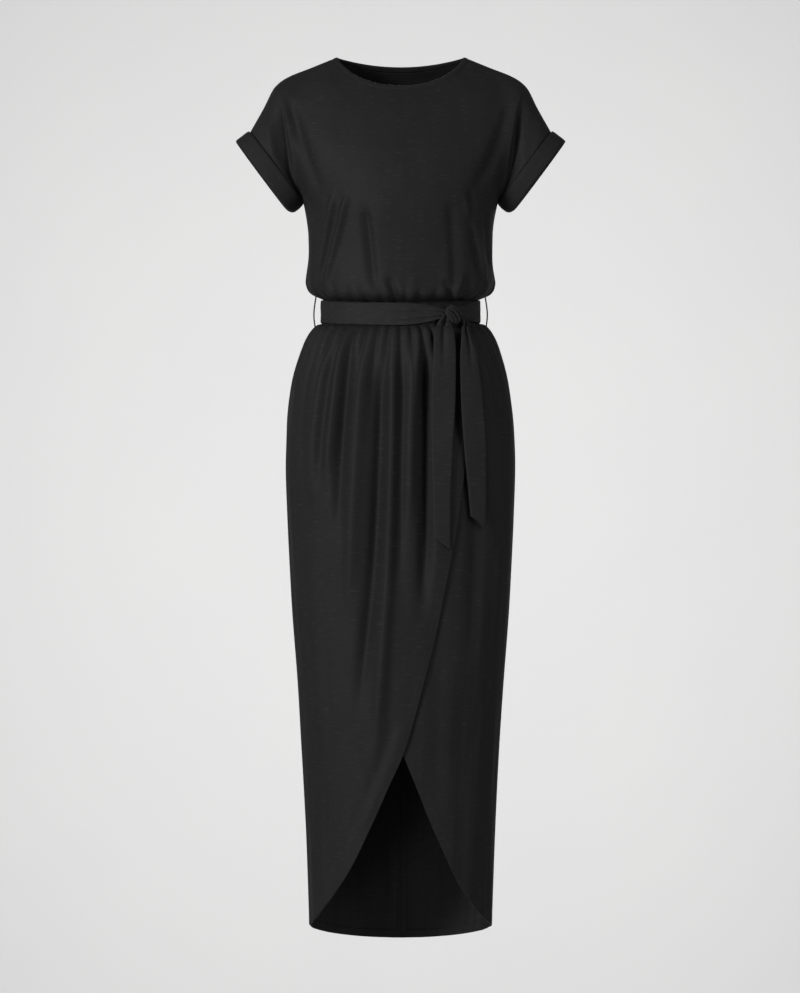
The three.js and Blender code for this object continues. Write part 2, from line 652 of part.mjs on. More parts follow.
function cuff(name, hand) {
  const line = cuffLine(hand);
  const out = new THREE.Vector3(-hand * line.z, 0, hand * line.x);
  const centre = new THREE.Vector3(
    (hand * (CUFF_TOP.x + CUFF_UNDER.x)) / 2, 0, (CUFF_TOP.z + CUFF_UNDER.z) / 2,
  );
  const sections = [];
  for (let i = 0; i < CUFF_STEPS; i++) {
    const turn = (2 * Math.PI * i) / CUFF_STEPS;
    const rim = centre.clone().addScaledVector(line, (cuffLength / 2) * Math.cos(turn));
    rim.y = SLEEVE_HALF_DEPTH * Math.sin(turn);
    const normal = line.clone().multiplyScalar(Math.cos(turn) / (cuffLength / 2));
    normal.y = Math.sin(turn) / SLEEVE_HALF_DEPTH;
    normal.normalize();
    const under = Math.max(0, Math.cos(turn)) ** 6;
    const rounding = 1 - CUFF_ROUNDING * Math.max(0, Math.cos(turn)) ** 14;
    sections.push(CUFF_SECTION.map((row) => (
      rim.clone()
        .addScaledVector(out, Math.max(SEAM_GAP, row.out * rounding))
        .addScaledVector(normal, mix(row.height, row.underarm, under))
    )));
  }
  return sweptSolid(name, sections, true, trim);
}

// Neck band: a narrow folded strip that carries the bodice on inwards from its neck seam.
// Its section gives the share of its width from the seam and the height over the bodice.
const NECK_BAND_SECTION = [
  { share: SEAM_GAP / NECK_BAND_WIDTH, height: 0.2 },
  { share: 0.5, height: 0.5 },
  { share: 0.9, height: 0.2 },
  { share: 1, height: -0.9 },
  { share: 0.9, height: -2.0 },
  { share: SEAM_GAP / NECK_BAND_WIDTH, height: -1.8 },
];

function neckBand() {
  const sections = [];
  for (let i = 0; i < 4 * NECK_COLUMNS; i++) {
    const side = i < 2 * NECK_COLUMNS ? FRONT : BACK;
    const offset = side === FRONT ? i - NECK_COLUMNS : 3 * NECK_COLUMNS - i;
    const column = COLUMNS_PER_SIDE + offset;
    const surface = bodiceSurface(side, side === FRONT ? BODICE_FRONT_GATHERS : BODICE_BACK_GATHERS);
    const seam = surface(column, 0);
    const normal = bodiceNormal(surface, column, 0, side);
    const edgeX = (seam.x * NECK_HALF_WIDTH) / neckSeamHalfWidth;
    const drop = side === FRONT ? FRONT_NECK_DROP : BACK_NECK_DROP;
    const edgeZ = neckHeight(edgeX, NECK_HALF_WIDTH, drop, side);
    const edge = new THREE.Vector3(edgeX, side * bodyDepth(edgeX, edgeZ, side), edgeZ);
    if (i % (2 * NECK_COLUMNS) === 0) seam.y = 0;
    sections.push(NECK_BAND_SECTION.map(({ share, height }) => (
      seam.clone().lerp(edge, share).addScaledVector(normal, height)
    )));
  }
  return sweptSolid('neck_band', sections, true, trim);
}

// A point of the smooth skirt at an angle from the centre front or back
function skirtPoint(angle, z, side) {
  const depth = SEAM_GAP / 2 + depthOn(skirt, side, z) * Math.cos(angle);
  const x = skirt.halfWidth(z) * Math.sin(angle);
  return new THREE.Vector3(x, side * depth, z - waistDip(angle, z, side));
}

// Height at which a free edge, given as x for each height, crosses the line of one angle. The
// hand is -1 for an edge that runs down to the left hem corner and 1 for one to the right.
function edgeHeight(edgeX, angle, hand) {
  let low = SIDE_HEM;
  let high = WAIST_HEIGHT;
  for (let i = 0; i < 40; i++) {
    const z = (low + high) / 2;
    const edge = Math.asin(clamp(edgeX(z) / skirt.halfWidth(z), -1, 1));
    if ((edge - angle) * hand > 0) low = z;
    else high = z;
  }
  return (low + high) / 2;
}
const overEdgeX = tableCurve(WRAP_EDGE, 'z', 'x');
const underEdgeX = tableCurve(UNDER_EDGE, 'z', 'x');

// Depth below the waist of each row of a skirt column of the given length. The upper rows
// follow the flare below the belt, as far as the column reaches, and the rest share out what
// is left. No row takes more than its part of a short column.
const FLARE_ROWS = [0, 19.3, 24.5, 37, 60, 92];
const LOWER_ROWS = [0.1, 0.21, 0.33, 0.46, 0.6, 0.74, 0.88, 1];
const SKIRT_ROWS = FLARE_ROWS.length + LOWER_ROWS.length;
const SHORTEST_STEP = 0.02;

function rowDrop(row, length) {
  const flareDrop = (i) => Math.min(FLARE_ROWS[i], length * (1 - SHORTEST_STEP * (SKIRT_ROWS - 1 - i)));
  if (row < FLARE_ROWS.length) return flareDrop(row);
  return mix(flareDrop(FLARE_ROWS.length - 1), length, LOWER_ROWS[row - FLARE_ROWS.length]);
}

// A skirt panel between two places counted in gathers. The bottom gives the height of its
// lower edge at each angle, and the tuck how far it lies under the panel on top.
function skirtPanel(name, options) {
  const { side, gathers, folds, from, until, bottom, tuck } = options;
  const top = WAIST_HEIGHT - SEAM_GAP / 2;
  const rows = [];
  for (let row = 0; row < SKIRT_ROWS; row++) {
    const step = row < FLARE_ROWS.length ? 0.25 : 0.5;
    const cells = [];
    for (let place = from; place <= until; place += step) {
      const angle = gatherAngle(gathers, place);
      const z = top - rowDrop(row, top - bottom(angle));
      const surface = (a, b) => skirtPoint(a, b, side);
      const onSide = place === 0 || place === gathers.length;
      const onCentre = side === BACK && place === gathers.length / 2;
      const flat = onSide ? 'y' : onCentre ? 'x' : '';
      const normal = surfaceNormal(surface, angle, z, 0.004, -1, flat);
      if (row === 0) normal.setZ(0).normalize();
      const point = surface(angle, z);
      if (normal.x * point.x + normal.y * point.y < 0) normal.negate();
      const centreGap = onCentre || (side === BACK && Math.abs(angle) < 1e-6);
      if (centreGap) point.x += (from === 0 ? -1 : 1) * (SEAM_GAP / 2);
      const lift = skirtGatherLift(gathers, angle, z) + foldLift(folds, angle, z, skirt, side);
      cells.push({ point, normal, lift: lift - tuck(angle, z) });
    }
    rows.push(cells);
  }
  return clothWall(name, rows, CLOTH, jersey);
}

const TUCK_GAP = 2.4;

// How far the front panel underneath lies inside the one on top. It comes back out to the
// side seam on the right, where nothing covers it.
function underTuck(angle, z) {
  const full = CLOTH + mix(SEAM_GAP, TUCK_GAP, smoothstep(WAIST_HEIGHT - z, 16, 27));
  const start = Math.asin(clamp(overEdgeX(z) / skirt.halfWidth(z), -1, 1)) + 6 * DEGREE;
  const share = (angle - start) / (Math.PI / 2 - start);
  return full * (1 - smoothstep(share, 0.1, 1));
}

const OVER_LAST_GATHER = 17;
const UNDER_FIRST_GATHER = 4;
const frontSkirt = { side: FRONT, gathers: SKIRT_FRONT_GATHERS, folds: SKIRT_FRONT_FOLDS };
const backSkirt = {
  side: BACK,
  gathers: SKIRT_BACK_GATHERS,
  folds: SKIRT_BACK_FOLDS,
  bottom: (angle) => SIDE_HEM - BACK_HEM_DROP * Math.cos(angle),
  tuck: () => 0,
};

function skirtPanels() {
  const middle = SKIRT_BACK_GATHERS.length / 2;
  return [
    skirtPanel('skirt_front_over', {
      ...frontSkirt,
      from: 0,
      until: OVER_LAST_GATHER,
      bottom: (angle) => edgeHeight(overEdgeX, angle, -1),
      tuck: () => 0,
    }),
    skirtPanel('skirt_front_under', {
      ...frontSkirt,
      from: UNDER_FIRST_GATHER,
      until: SKIRT_FRONT_GATHERS.length,
      bottom: (angle) => edgeHeight(underEdgeX, angle, 1),
      tuck: underTuck,
    }),
    skirtPanel('skirt_back_left', { ...backSkirt, from: 0, until: middle }),
    skirtPanel('skirt_back_right', { ...backSkirt, from: middle, until: 2 * middle }),
  ];
}

// A point of the waist's own ellipse, and its outward normal, at an angle round the body
// that is 0 at the centre front and 90 at the right side seam
function waistPoint(degrees, z) {
  const angle = degrees * DEGREE;
  const depth = Math.cos(angle) > 0 ? skirt.front(WAIST_HEIGHT) : skirt.back(WAIST_HEIGHT);
  const width = skirt.halfWidth(WAIST_HEIGHT);
  const point = new THREE.Vector3(width * Math.sin(angle), -depth * Math.cos(angle), z);
  const normal = new THREE.Vector3(Math.sin(angle) / width, -Math.cos(angle) / depth, 0);
  return { point, normal: normal.normalize() };
}

// Belt: a flat folded strip round the waist whose two ends narrow and crease towards the knot
// and lie flat behind it.
// Its section gives the share of the height from top to bottom and the creases outside.
const BELT_STEPS = 60;
const BELT_SECTION = [
  { share: 0.04, crease: -0.3, inside: false },
  { share: 0.3, crease: 0.5, inside: false },
  { share: 0.5, crease: -0.9, inside: false },
  { share: 0.72, crease: 0.5, inside: false },
  { share: 0.96, crease: -0.3, inside: false },
  { share: 1, crease: 0, inside: true },
  { share: 0, crease: 0, inside: true },
];

function belt() {
  const top = tableCurve(BELT_EDGES, 'angle', 'top');
  const bottom = tableCurve(BELT_EDGES, 'angle', 'bottom');
  const first = BELT_EDGES[0].angle;
  const last = BELT_EDGES.at(-1).angle;
  const sections = [];
  for (let i = 0; i <= BELT_STEPS; i++) {
    const degrees = mix(first, last, i / BELT_STEPS);
    const near = Math.min(degrees - first, last - degrees);
    const creased = smoothstep(near, 7, 11) * (1 - smoothstep(near, 13, 45));
    sections.push(BELT_SECTION.map(({ share, crease, inside }) => {
      const { point, normal } = waistPoint(degrees, mix(top(degrees), bottom(degrees), share));
      const height = BELT_CLEARANCE + (inside ? 0 : BELT_CLOTH + crease * creased);
      return point.addScaledVector(normal, height);
    }));
  }
  return sweptSolid('belt', sections, false, trim);
}

// Knot: a soft lump flattened against the waist, with one wrap of the belt slanting over it
const KNOT_HALF_WIDTH = 14;
const KNOT_HALF_HEIGHT = 13.2;
const KNOT_HALF_DEPTH = 6;
const KNOT_ROUND = 20;
const KNOT_RINGS = 12;
const KNOT_WRAP_HEIGHT = 1.6;

function knot() {
  const { point, normal } = waistPoint(KNOT_ANGLE, KNOT_HEIGHT);
  const across = new THREE.Vector3(-normal.y, normal.x, 0);
  const overTails = UNDER_BELT_LIFT + TAIL_CLEARANCE + TAIL_CLOTH + SEAM_GAP;
  const centre = point.addScaledVector(normal, overTails + KNOT_HALF_DEPTH);
  const up = new THREE.Vector3(0, 0, 1);
  const points = [];
  const triangles = [];
  const place = (latitude, longitude) => {
    const ring = Math.cos(latitude);
    const power = (value, exponent) => Math.sign(value) * Math.abs(value) ** exponent;
    const s = power(Math.cos(longitude), 0.8) * power(ring, 0.7);
    const t = power(Math.sin(longitude), 0.8) * power(ring, 0.7);
    const n = power(Math.sin(latitude), 0.6);
    const slant = (s + 0.55 * t) / 0.42;
    const wrap = n > 0 ? KNOT_WRAP_HEIGHT * Math.exp(-slant * slant) : 0;
    return centre.clone()
      .addScaledVector(across, s * KNOT_HALF_WIDTH)
      .addScaledVector(up, t * KNOT_HALF_HEIGHT)
      .addScaledVector(normal, n * (KNOT_HALF_DEPTH + wrap));
  };
  points.push(place(-Math.PI / 2, 0));
  for (let ring = 1; ring < KNOT_RINGS; ring++) {
    for (let i = 0; i < KNOT_ROUND; i++) {
      points.push(place(Math.PI * (ring / KNOT_RINGS - 0.5), (2 * Math.PI * i) / KNOT_ROUND));
    }
  }
  points.push(place(Math.PI / 2, 0));
  const tip = points.length - 1;
  for (let i = 0; i < KNOT_ROUND; i++) {
    const next = (i + 1) % KNOT_ROUND;
    const lastRing = tip - KNOT_ROUND;
    triangles.push([0, 1 + next, 1 + i], [tip, lastRing + i, lastRing + next]);
    for (let ring = 0; ring + 2 < KNOT_RINGS; ring++) {
      const a = 1 + ring * KNOT_ROUND;
      const b = a + KNOT_ROUND;
      triangles.push([a + i, a + next, b + i], [a + next, b + next, b + i]);
    }
  }
  return solid('belt_knot', points, triangles, trim);
}

// Belt tail: a folded strip that lies on the front skirt, over the crests of its folds, and
// ends on a slant. Each tail's slant is how much lower its right corner hangs.
const TAIL_ROWS = [0, 3, 6.5, 11, 16, 21.5, 32, 50, 78, 112, 152, 198, 248, 300];
const TAIL_COLUMNS = 6;
const TAIL_CLOTH = 2;
const TAIL_CLEARANCE = 1.8;
const TAIL_CREASE = 1.8;

// The angle at which the front skirt passes through a place seen from the front
function frontAngle(x, z) {
  let angle = Math.asin(clamp(x / skirt.halfWidth(z), -1, 1));
  for (let i = 0; i < 8; i++) {
    angle = Math.asin(clamp(x / skirt.halfWidth(z + waistDip(angle, z, FRONT)), -1, 1));
  }
  return angle;
}

// Greatest lift of the front skirt across a strip's width at one height
function crestAcross(left, right, z) {
  let crest = 0;
  for (let i = -1; i <= 9; i++) {
    const angle = frontAngle(mix(left, right, i / 8), z);
    for (const step of [-6, -3, 0, 3, 6]) {
      const level = z + waistDip(angle, z, FRONT) + step;
      const lift = skirtGatherLift(SKIRT_FRONT_GATHERS, angle, level)
        + foldLift(SKIRT_FRONT_FOLDS, angle, level, skirt, FRONT);
      crest = Math.max(crest, lift);
    }
  }
  return crest;
}

function beltTail(name, edges, slant) {
  const left = tableCurve(edges, 'z', 'left');
  const right = tableCurve(edges, 'z', 'right');
  const top = edges[0].z;
  const length = top - edges.at(-1).z;
  const rows = TAIL_ROWS.map((distance) => {
    const share = distance / TAIL_ROWS.at(-1);
    const middleZ = top - share * length;
    const crest = crestAcross(left(middleZ), right(middleZ), middleZ);
    const cells = [];
    for (let i = 0; i <= TAIL_COLUMNS; i++) {
      const across = i / TAIL_COLUMNS;
      const z = middleZ + share * slant * (1 - across);
      const angle = frontAngle(mix(left(z), right(z), across), z);
      const level = z + waistDip(angle, z, FRONT);
      const surface = (a, b) => skirtPoint(a, b, FRONT);
      const normal = surfaceNormal(surface, angle, level, 0.004, -1, 'z');
      if (normal.y > 0) normal.negate();
      const crease = TAIL_CREASE * (1 - share) ** 2 * Math.cos(4 * Math.PI * across);
      const lift = crest + TAIL_CLEARANCE + TAIL_CLOTH + Math.min(share * 8, 1) * Math.max(0, -crease);
      cells.push({ point: surface(angle, level), normal, lift });
    }
    return cells;
  });
  return clothWall(name, rows, TAIL_CLOTH, trim);
}

// Thread belt loop: a thin cord that stands off the belt at a side seam, from the bodice
// above the belt to the skirt below it
const LOOP_SIDES = 8;
const LOOP_STEPS = 12;
const LOOP_STAND = 10.2;

function beltLoop(name, hand) {
  const upper = new THREE.Vector3(bodice.halfWidth(-368) + 1.5, 0, -368);
  const lower = new THREE.Vector3(skirt.halfWidth(-420) + 1.5, 0, -420);
  const outer = skirt.halfWidth(WAIST_HEIGHT) + BELT_CLEARANCE + BELT_CLOTH + LOOP_STAND;
  const route = new THREE.CatmullRomCurve3([
    upper,
    new THREE.Vector3(outer - 2.2, 0, -376),
    new THREE.Vector3(outer, 0, -393),
    new THREE.Vector3(outer - 0.4, 0, -408),
    lower,
  ]);
  const sections = route.getSpacedPoints(LOOP_STEPS).map((centre, i) => {
    const ahead = route.getTangentAt(i / LOOP_STEPS);
    const sideways = new THREE.Vector3(ahead.z, 0, -ahead.x);
    return Array.from({ length: LOOP_SIDES }, (unused, j) => {
      const turn = (2 * Math.PI * j) / LOOP_SIDES;
      const rim = centre.clone().addScaledVector(sideways, (LOOP_THREAD / 2) * Math.cos(turn));
      rim.y += (LOOP_THREAD / 2) * Math.sin(turn);
      rim.x *= hand;
      return rim;
    });
  });
  return sweptSolid(name, sections, false, thread);
}

// The dress
const dress = new THREE.Group();
dress.add(
  bodicePanel('bodice_front', FRONT, BODICE_FRONT_GATHERS, BODICE_FRONT_FOLDS),
  bodicePanel('bodice_back', BACK, BODICE_BACK_GATHERS, BODICE_BACK_FOLDS),
  neckBand(),
  cuff('cuff_left', -1),
  cuff('cuff_right', 1),
  ...skirtPanels(),
  belt(),
  knot(),
  beltTail('belt_tail_front', TAIL_FRONT_EDGES, 18),
  beltTail('belt_tail_side', TAIL_SIDE_EDGES, 19),
  beltLoop('belt_loop_left', -1),
  beltLoop('belt_loop_right', 1),
);

export default dress;
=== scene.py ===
# Wrap dress in soft black slub jersey, filled out with no wearer and held up at its shoulders.
# The garment's tables are in millimetres, as a maker would write them. Z is up, the front
# faces -Y, and the origin lies midway between the two neck points. Meshes are in metres.

import math

import bpy
import numpy as np
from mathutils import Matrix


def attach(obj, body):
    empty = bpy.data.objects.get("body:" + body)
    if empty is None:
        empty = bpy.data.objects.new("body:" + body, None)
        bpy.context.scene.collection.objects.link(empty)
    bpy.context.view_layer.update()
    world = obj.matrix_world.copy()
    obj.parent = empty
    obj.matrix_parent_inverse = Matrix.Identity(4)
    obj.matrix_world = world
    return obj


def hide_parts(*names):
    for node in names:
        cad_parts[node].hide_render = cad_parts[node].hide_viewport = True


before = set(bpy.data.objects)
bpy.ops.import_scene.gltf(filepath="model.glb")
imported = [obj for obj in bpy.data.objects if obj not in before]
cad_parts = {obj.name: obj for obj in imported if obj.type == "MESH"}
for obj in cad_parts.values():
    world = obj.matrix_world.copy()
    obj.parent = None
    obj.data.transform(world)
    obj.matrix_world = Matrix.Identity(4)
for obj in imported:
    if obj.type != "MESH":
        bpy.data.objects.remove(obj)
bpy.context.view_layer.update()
MM = 0.001

# Camera: level with the middle of the dress and far enough away to see it almost flat.
# One pixel of the photograph is 1.5455 mm at the plane of the side seams.
PIXEL = 1.5455
PHOTO_WIDTH, PHOTO_HEIGHT = 800, 993
NECK_PIXEL = (400.6, 57.2)
CAMERA_DISTANCE = 5000
CAMERA_SENSOR = 36

camera_x = (PHOTO_WIDTH / 2 - NECK_PIXEL[0]) * PIXEL
camera_z = (NECK_PIXEL[1] - PHOTO_HEIGHT / 2) * PIXEL
camera_data = bpy.data.cameras.new("camera")
camera_data.sensor_width = CAMERA_SENSOR
camera_data.lens = CAMERA_SENSOR * CAMERA_DISTANCE / (PHOTO_HEIGHT * PIXEL)
camera_data.clip_end = 40
camera = bpy.data.objects.new("camera", camera_data)
camera.location = (camera_x * MM, -CAMERA_DISTANCE * MM, camera_z * MM)
camera.rotation_euler = (math.pi / 2, 0, 0)
bpy.context.scene.collection.objects.link(camera)
bpy.context.scene.camera = camera


# Studio: pale paper that hangs far behind the dress and sweeps forward far below it, a soft
# light from the left, weaker ones from the right, from low on the left and from behind, and
# a wash of light on the paper.
FLOOR_HEIGHT = -4200
SWEEP_START, SWEEP_RADIUS, WALL_TOP = 5200, 1500, 4400
STAGE_HALF_WIDTH, STAGE_FRONT = 7000, -7500
STAGE_GREY = 0.66
AIR_STRENGTH = 0.27

# Name, place, what it faces, width and power of each light, in metres and watts
LIGHTS = [
    ("key_light", (-2.7, -2.7, 0.5), (0, 0, -0.7), 0.9, 152),
    ("fill_light", (3.0, -2.8, 0.6), (0, 0, -0.7), 2.0, 64),
    ("low_light", (-1.9, -2.7, -2.3), (0.1, 0, -1.1), 1.2, 27),
    ("back_light", (0, 3.4, 1.6), (0, 0, -0.7), 0.8, 40),
    ("wall_light", (0, 3.8, -0.6), (0, 6.7, -0.7), 5.4, 124),
]


class Socket:
    """A value inside a material: arithmetic on it adds the Math nodes that work it out."""

    def __init__(self, material, socket):
        self.material = material
        self.socket = socket

    def math(self, operation, *values):
        """The Math node of this operation on the given values, as a new value."""
        node = self.material.tree.nodes.new("ShaderNodeMath")
        node.operation = operation
        for place, value in enumerate(values):
            self.material.put(node.inputs[place], value)
        return Socket(self.material, node.outputs[0])

    def __add__(self, other):
        return self.math("ADD", self, other)

    def __sub__(self, other):
        return self.math("SUBTRACT", self, other)

    def __rsub__(self, other):
        return self.math("SUBTRACT", other, self)

    def __mul__(self, other):
        return self.math("MULTIPLY", self, other)

    __radd__ = __add__
    __rmul__ = __mul__


class Finish:
    """A new material with its surface shader, and one method that makes any other node."""

    def __init__(self, name, **constants):
        self.material = bpy.data.materials.new(name)
        self.material.use_nodes = True
        self.tree = self.material.node_tree
        self.shader = next(n for n in self.tree.nodes if n.type == "BSDF_PRINCIPLED")
        for socket, value in constants.items():
            self.shader.inputs[socket.replace("_", " ")].default_value = value

    def put(self, socket, value):
        """Links a value into a socket, or sets the socket to a plain number or colour."""
        if isinstance(value, Socket):
            self.tree.links.new(value.socket, socket)
        else:
            socket.default_value = value

    def node(self, kind, settings=None, output=0, **sockets):
        """Adds a node: its settings first, then its sockets by name, and gives one output."""
        node = self.tree.nodes.new(kind)
        for setting, value in (settings or {}).items():
            if setting == "stops":
                for stop, (place, colour) in zip(node.color_ramp.elements, value):
                    stop.position = place
                    stop.color = colour
            else:
                setattr(node, setting, value)
        for socket, value in sockets.items():
            self.put(node.inputs[socket.replace("_", " ")], value)
        return Socket(self, node.outputs[output])


def mesh_object(name, vertices, faces, uv=None):
    """A smooth-shaded mesh from arrays: vertices in millimetres, faces of four corners each,
    and optionally a place on the cloth, in metres, for every vertex."""
    mesh = bpy.data.meshes.new(name)
    mesh.vertices.add(len(vertices))
    mesh.vertices.foreach_set("co", (vertices * MM).astype(np.float32).ravel())
    mesh.loops.add(faces.size)
    mesh.loops.foreach_set("vertex_index", faces.astype(np.int32).ravel())
    mesh.polygons.add(len(faces))
    mesh.polygons.foreach_set("loop_start", np.arange(0, faces.size, 4, dtype=np.int32))
    mesh.polygons.foreach_set("use_smooth", np.ones(len(faces), dtype=bool))
    if uv is not None:
        layer = mesh.uv_layers.new(name="cloth")
        layer.data.foreach_set("uv", (uv * MM)[faces.ravel()].astype(np.float32).ravel())
    mesh.update(calc_edges=True)
    piece = bpy.data.objects.new(name, mesh)
    bpy.context.scene.collection.objects.link(piece)
    return piece


def grid_faces(rows, columns):
    """Corner numbers of the faces of a grid of points, row by row."""
    index = np.arange(rows * columns).reshape(rows, columns)
    corners = (index[:-1, :-1], index[1:, :-1], index[1:, 1:], index[:-1, 1:])
    return np.stack(corners, axis=-1).reshape(-1, 4)


def sweep_profile(count=40):
    """Depth and height along the studio floor, round a quarter circle and up the wall."""
    turn = np.linspace(0, math.pi / 2, count)
    y = SWEEP_START + SWEEP_RADIUS * np.sin(turn)
    z = FLOOR_HEIGHT + SWEEP_RADIUS * (1 - np.cos(turn))
    return np.concatenate([[STAGE_FRONT], y, [y[-1]]]), np.concatenate([[FLOOR_HEIGHT], z, [WALL_TOP]])


stage_y, stage_z = sweep_profile()
stage_points = np.zeros((len(stage_y), 2, 3))
stage_points[..., 0] = (-STAGE_HALF_WIDTH, STAGE_HALF_WIDTH)
stage_points[..., 1] = stage_y[:, None]
stage_points[..., 2] = stage_z[:, None]
studio = mesh_object("studio_sweep", stage_points.reshape(-1, 3), grid_faces(len(stage_y), 2)[:, ::-1])
studio_finish = Finish("studio_paper", Roughness=0.95, Specular_IOR_Level=0.0)
paper_place = studio_finish.node("ShaderNodeTexCoord", output=3)
paper_grain = studio_finish.node("ShaderNodeTexNoise", Vector=paper_place, Scale=1.5, Detail=2.0)
paper_colour = studio_finish.node(
    "ShaderNodeValToRGB",
    {"stops": [(0.3, (STAGE_GREY, STAGE_GREY, STAGE_GREY, 1)),
               (0.7, (STAGE_GREY * 1.015, STAGE_GREY * 1.015, STAGE_GREY * 1.01, 1))]},
    Fac=paper_grain,
)
studio_finish.put(studio_finish.shader.inputs["Base Color"], paper_colour)
studio.data.materials.append(studio_finish.material)


def soft_light(name, place, target, size, power):
    """A square area light at one place that faces another, both in metres."""
    data = bpy.data.lights.new(name, "AREA")
    data.size = size
    data.energy = power
    light = bpy.data.objects.new(name, data)
    light.location = place
    way = np.subtract(target, place)
    pitch = math.atan2(math.hypot(way[0], way[1]), -way[2])
    light.rotation_euler = (pitch, 0, math.atan2(way[1], way[0]) - math.pi / 2)
    bpy.context.scene.collection.objects.link(light)
    return light


lights = {row[0]: soft_light(*row) for row in LIGHTS}
lights["wall_light"].visible_camera = False
world = bpy.data.worlds.new("studio_air")
world.use_nodes = True
world.node_tree.nodes["Background"].inputs["Color"].default_value = (1, 1, 1, 1)
world.node_tree.nodes["Background"].inputs["Strength"].default_value = AIR_STRENGTH
bpy.context.scene.world = world
bpy.context.scene.view_settings.view_transform = "Standard"


# Bodice: a front and a back of single jersey, each cut in one with its half of both kimono
# sleeves. They are sewn to each other along shoulders and sides and gathered at the waist.
# Where the body's cloth hangs over the sleeve it leaves a long soft drape line.
CLOTH = 1.6
SEAM_GAP = 0.3
NECK_HALF_WIDTH = 97.6
NECK_BAND_WIDTH = 7.7
NECK_DROP = {"front": 50, "back": 10}
WAIST_HEIGHT = -392
WAIST_DIP, WAIST_DIP_FULL, WAIST_DIP_REACH = 8.5, 28, 120
UNDER_BELT_LIFT = 1.7
SIDE_OF = {"front": -1, "back": 1}

# x and z along one shoulder and overarm, from the neck out to the cuff
SHOULDER_LINE = [
    (97.6, 0), (137, -16), (176, -32), (194, -46), (212, -80), (232.3, -116),
]
CUFF_TOP, CUFF_UNDER = (232.3, -116), (150, -226)
CUFF_LENGTH = math.dist(CUFF_TOP, CUFF_UNDER)
SLEEVE_HALF_DEPTH = 46

# z, half width, depth in front, depth behind
BODICE_SECTIONS = [
    (60, 160, 10, 20), (0, 168, 16, 30), (-10, 172, 24, 38), (-30, 180, 41, 58),
    (-50, 186, 55, 72), (-100, 187, 85, 90), (-160, 174, 109, 98), (-210, 157, 118, 97),
    (-229, 149.5, 118, 94), (-275, 142.5, 114, 92), (-310, 142, 112, 95), (-346, 144, 112.5, 97),
    (-357, 141, 112, 95), (-364, 135, 109.5, 93), (-370, 127, 102, 89), (-375, 119, 89, 85),
    (-392, 118.6, 88.6, 84.6),
]

# Gathers from the left side seam to the right one: the angle where each ends, its height and
# how far it fades
BODICE_FRONT_GATHERS = [
    (-79, 3.0, 15), (-68, 5.4, 17), (-57, 3.6, 14), (-46, 5.8, 18), (-35, 3.4, 13),
    (-24, 5.4, 17), (-13, 2.8, 19), (-5, 4.6, 24), (3, 2.6, 14), (12, 4.8, 19),
    (23, 3.4, 14), (34, 5.2, 30), (46, 3.4, 22), (59, 5.0, 26), (74, 4.0, 16), (90, 3.0, 14),
]

# Long folds: x and z of the top, middle and bottom of each middle line, half width, height
BODICE_FRONT_FOLDS = [
    (-100, -208, -111, -272, -131, -366, 6, 7.0), (-80, -212, -97, -290, -122, -368, 6, 8.0),
    (-90, -226, -103, -280, -126, -352, 5, -1.5), (-55, -236, -47, -300, -38, -366, 7, -6.5),
    (97, -218, 117, -290, 132, -360, 7, 5.0), (106, -206, 110, -270, 124, -350, 7, -5.0),
    (75, -225, 81, -290, 84, -356, 10, -4.0), (96, -330, 86, -354, 72, -384, 6, 4.0),
    (-18, -338, -12, -356, 2, -378, 6, -5.0), (64, -342, 72, -358, 78, -380, 6, -4.0),
    (-172, -62, -152, -138, -118, -226, 13, -6.0), (168, -62, 145, -150, 108, -226, 13, -4.5),
    (-150, -205, -132, -262, -138, -330, 10, -3.0), (128, -230, 132, -280, 140, -340, 9, -3.0),
]
BODICE_BACK_FOLDS = [
    (-100, -190, -112, -262, -118, -350, 11, 3.4), (-66, -240, -72, -300, -70, -352, 10, 3.2),
    (-20, -270, -24, -315, -20, -352, 9, -2.8), (36, -250, 42, -305, 44, -352, 10, 3.2),
    (92, -200, 104, -270, 116, -350, 11, 3.6),
]
CUFF_ROWS = 8
SIDE_ROWS = [-226, -256, -288, -320, -344, -359, -368, -375, WAIST_HEIGHT + SEAM_GAP / 2]
BODICE_ROWS = CUFF_ROWS + len(SIDE_ROWS) - 1
NECK_COLUMNS, COLUMNS_PER_SIDE = 7, 16
SHOULDER_ROUNDING = 62
CHEST_POWER = 2.2
DRAPE_LINE_POWER = 9


def smoothstep(value, low, high):
    """0 below low, 1 above high and an S-shaped cubic between them."""
    share = np.clip((value - low) / (high - low), 0, 1)
    return share * share * (3 - 2 * share)


def mix(start, end, share):
    """The value this share of the way from start to end."""
    return start + (end - start) * share


def unit(vectors):
    """The vectors at a length of one."""
    return vectors / np.linalg.norm(vectors, axis=-1, keepdims=True)


def run_along(points):
    """Length of the way along a line of points, from its first point to each of them."""
    return np.concatenate([[0], np.cumsum(np.linalg.norm(np.diff(points, axis=0), axis=1))])


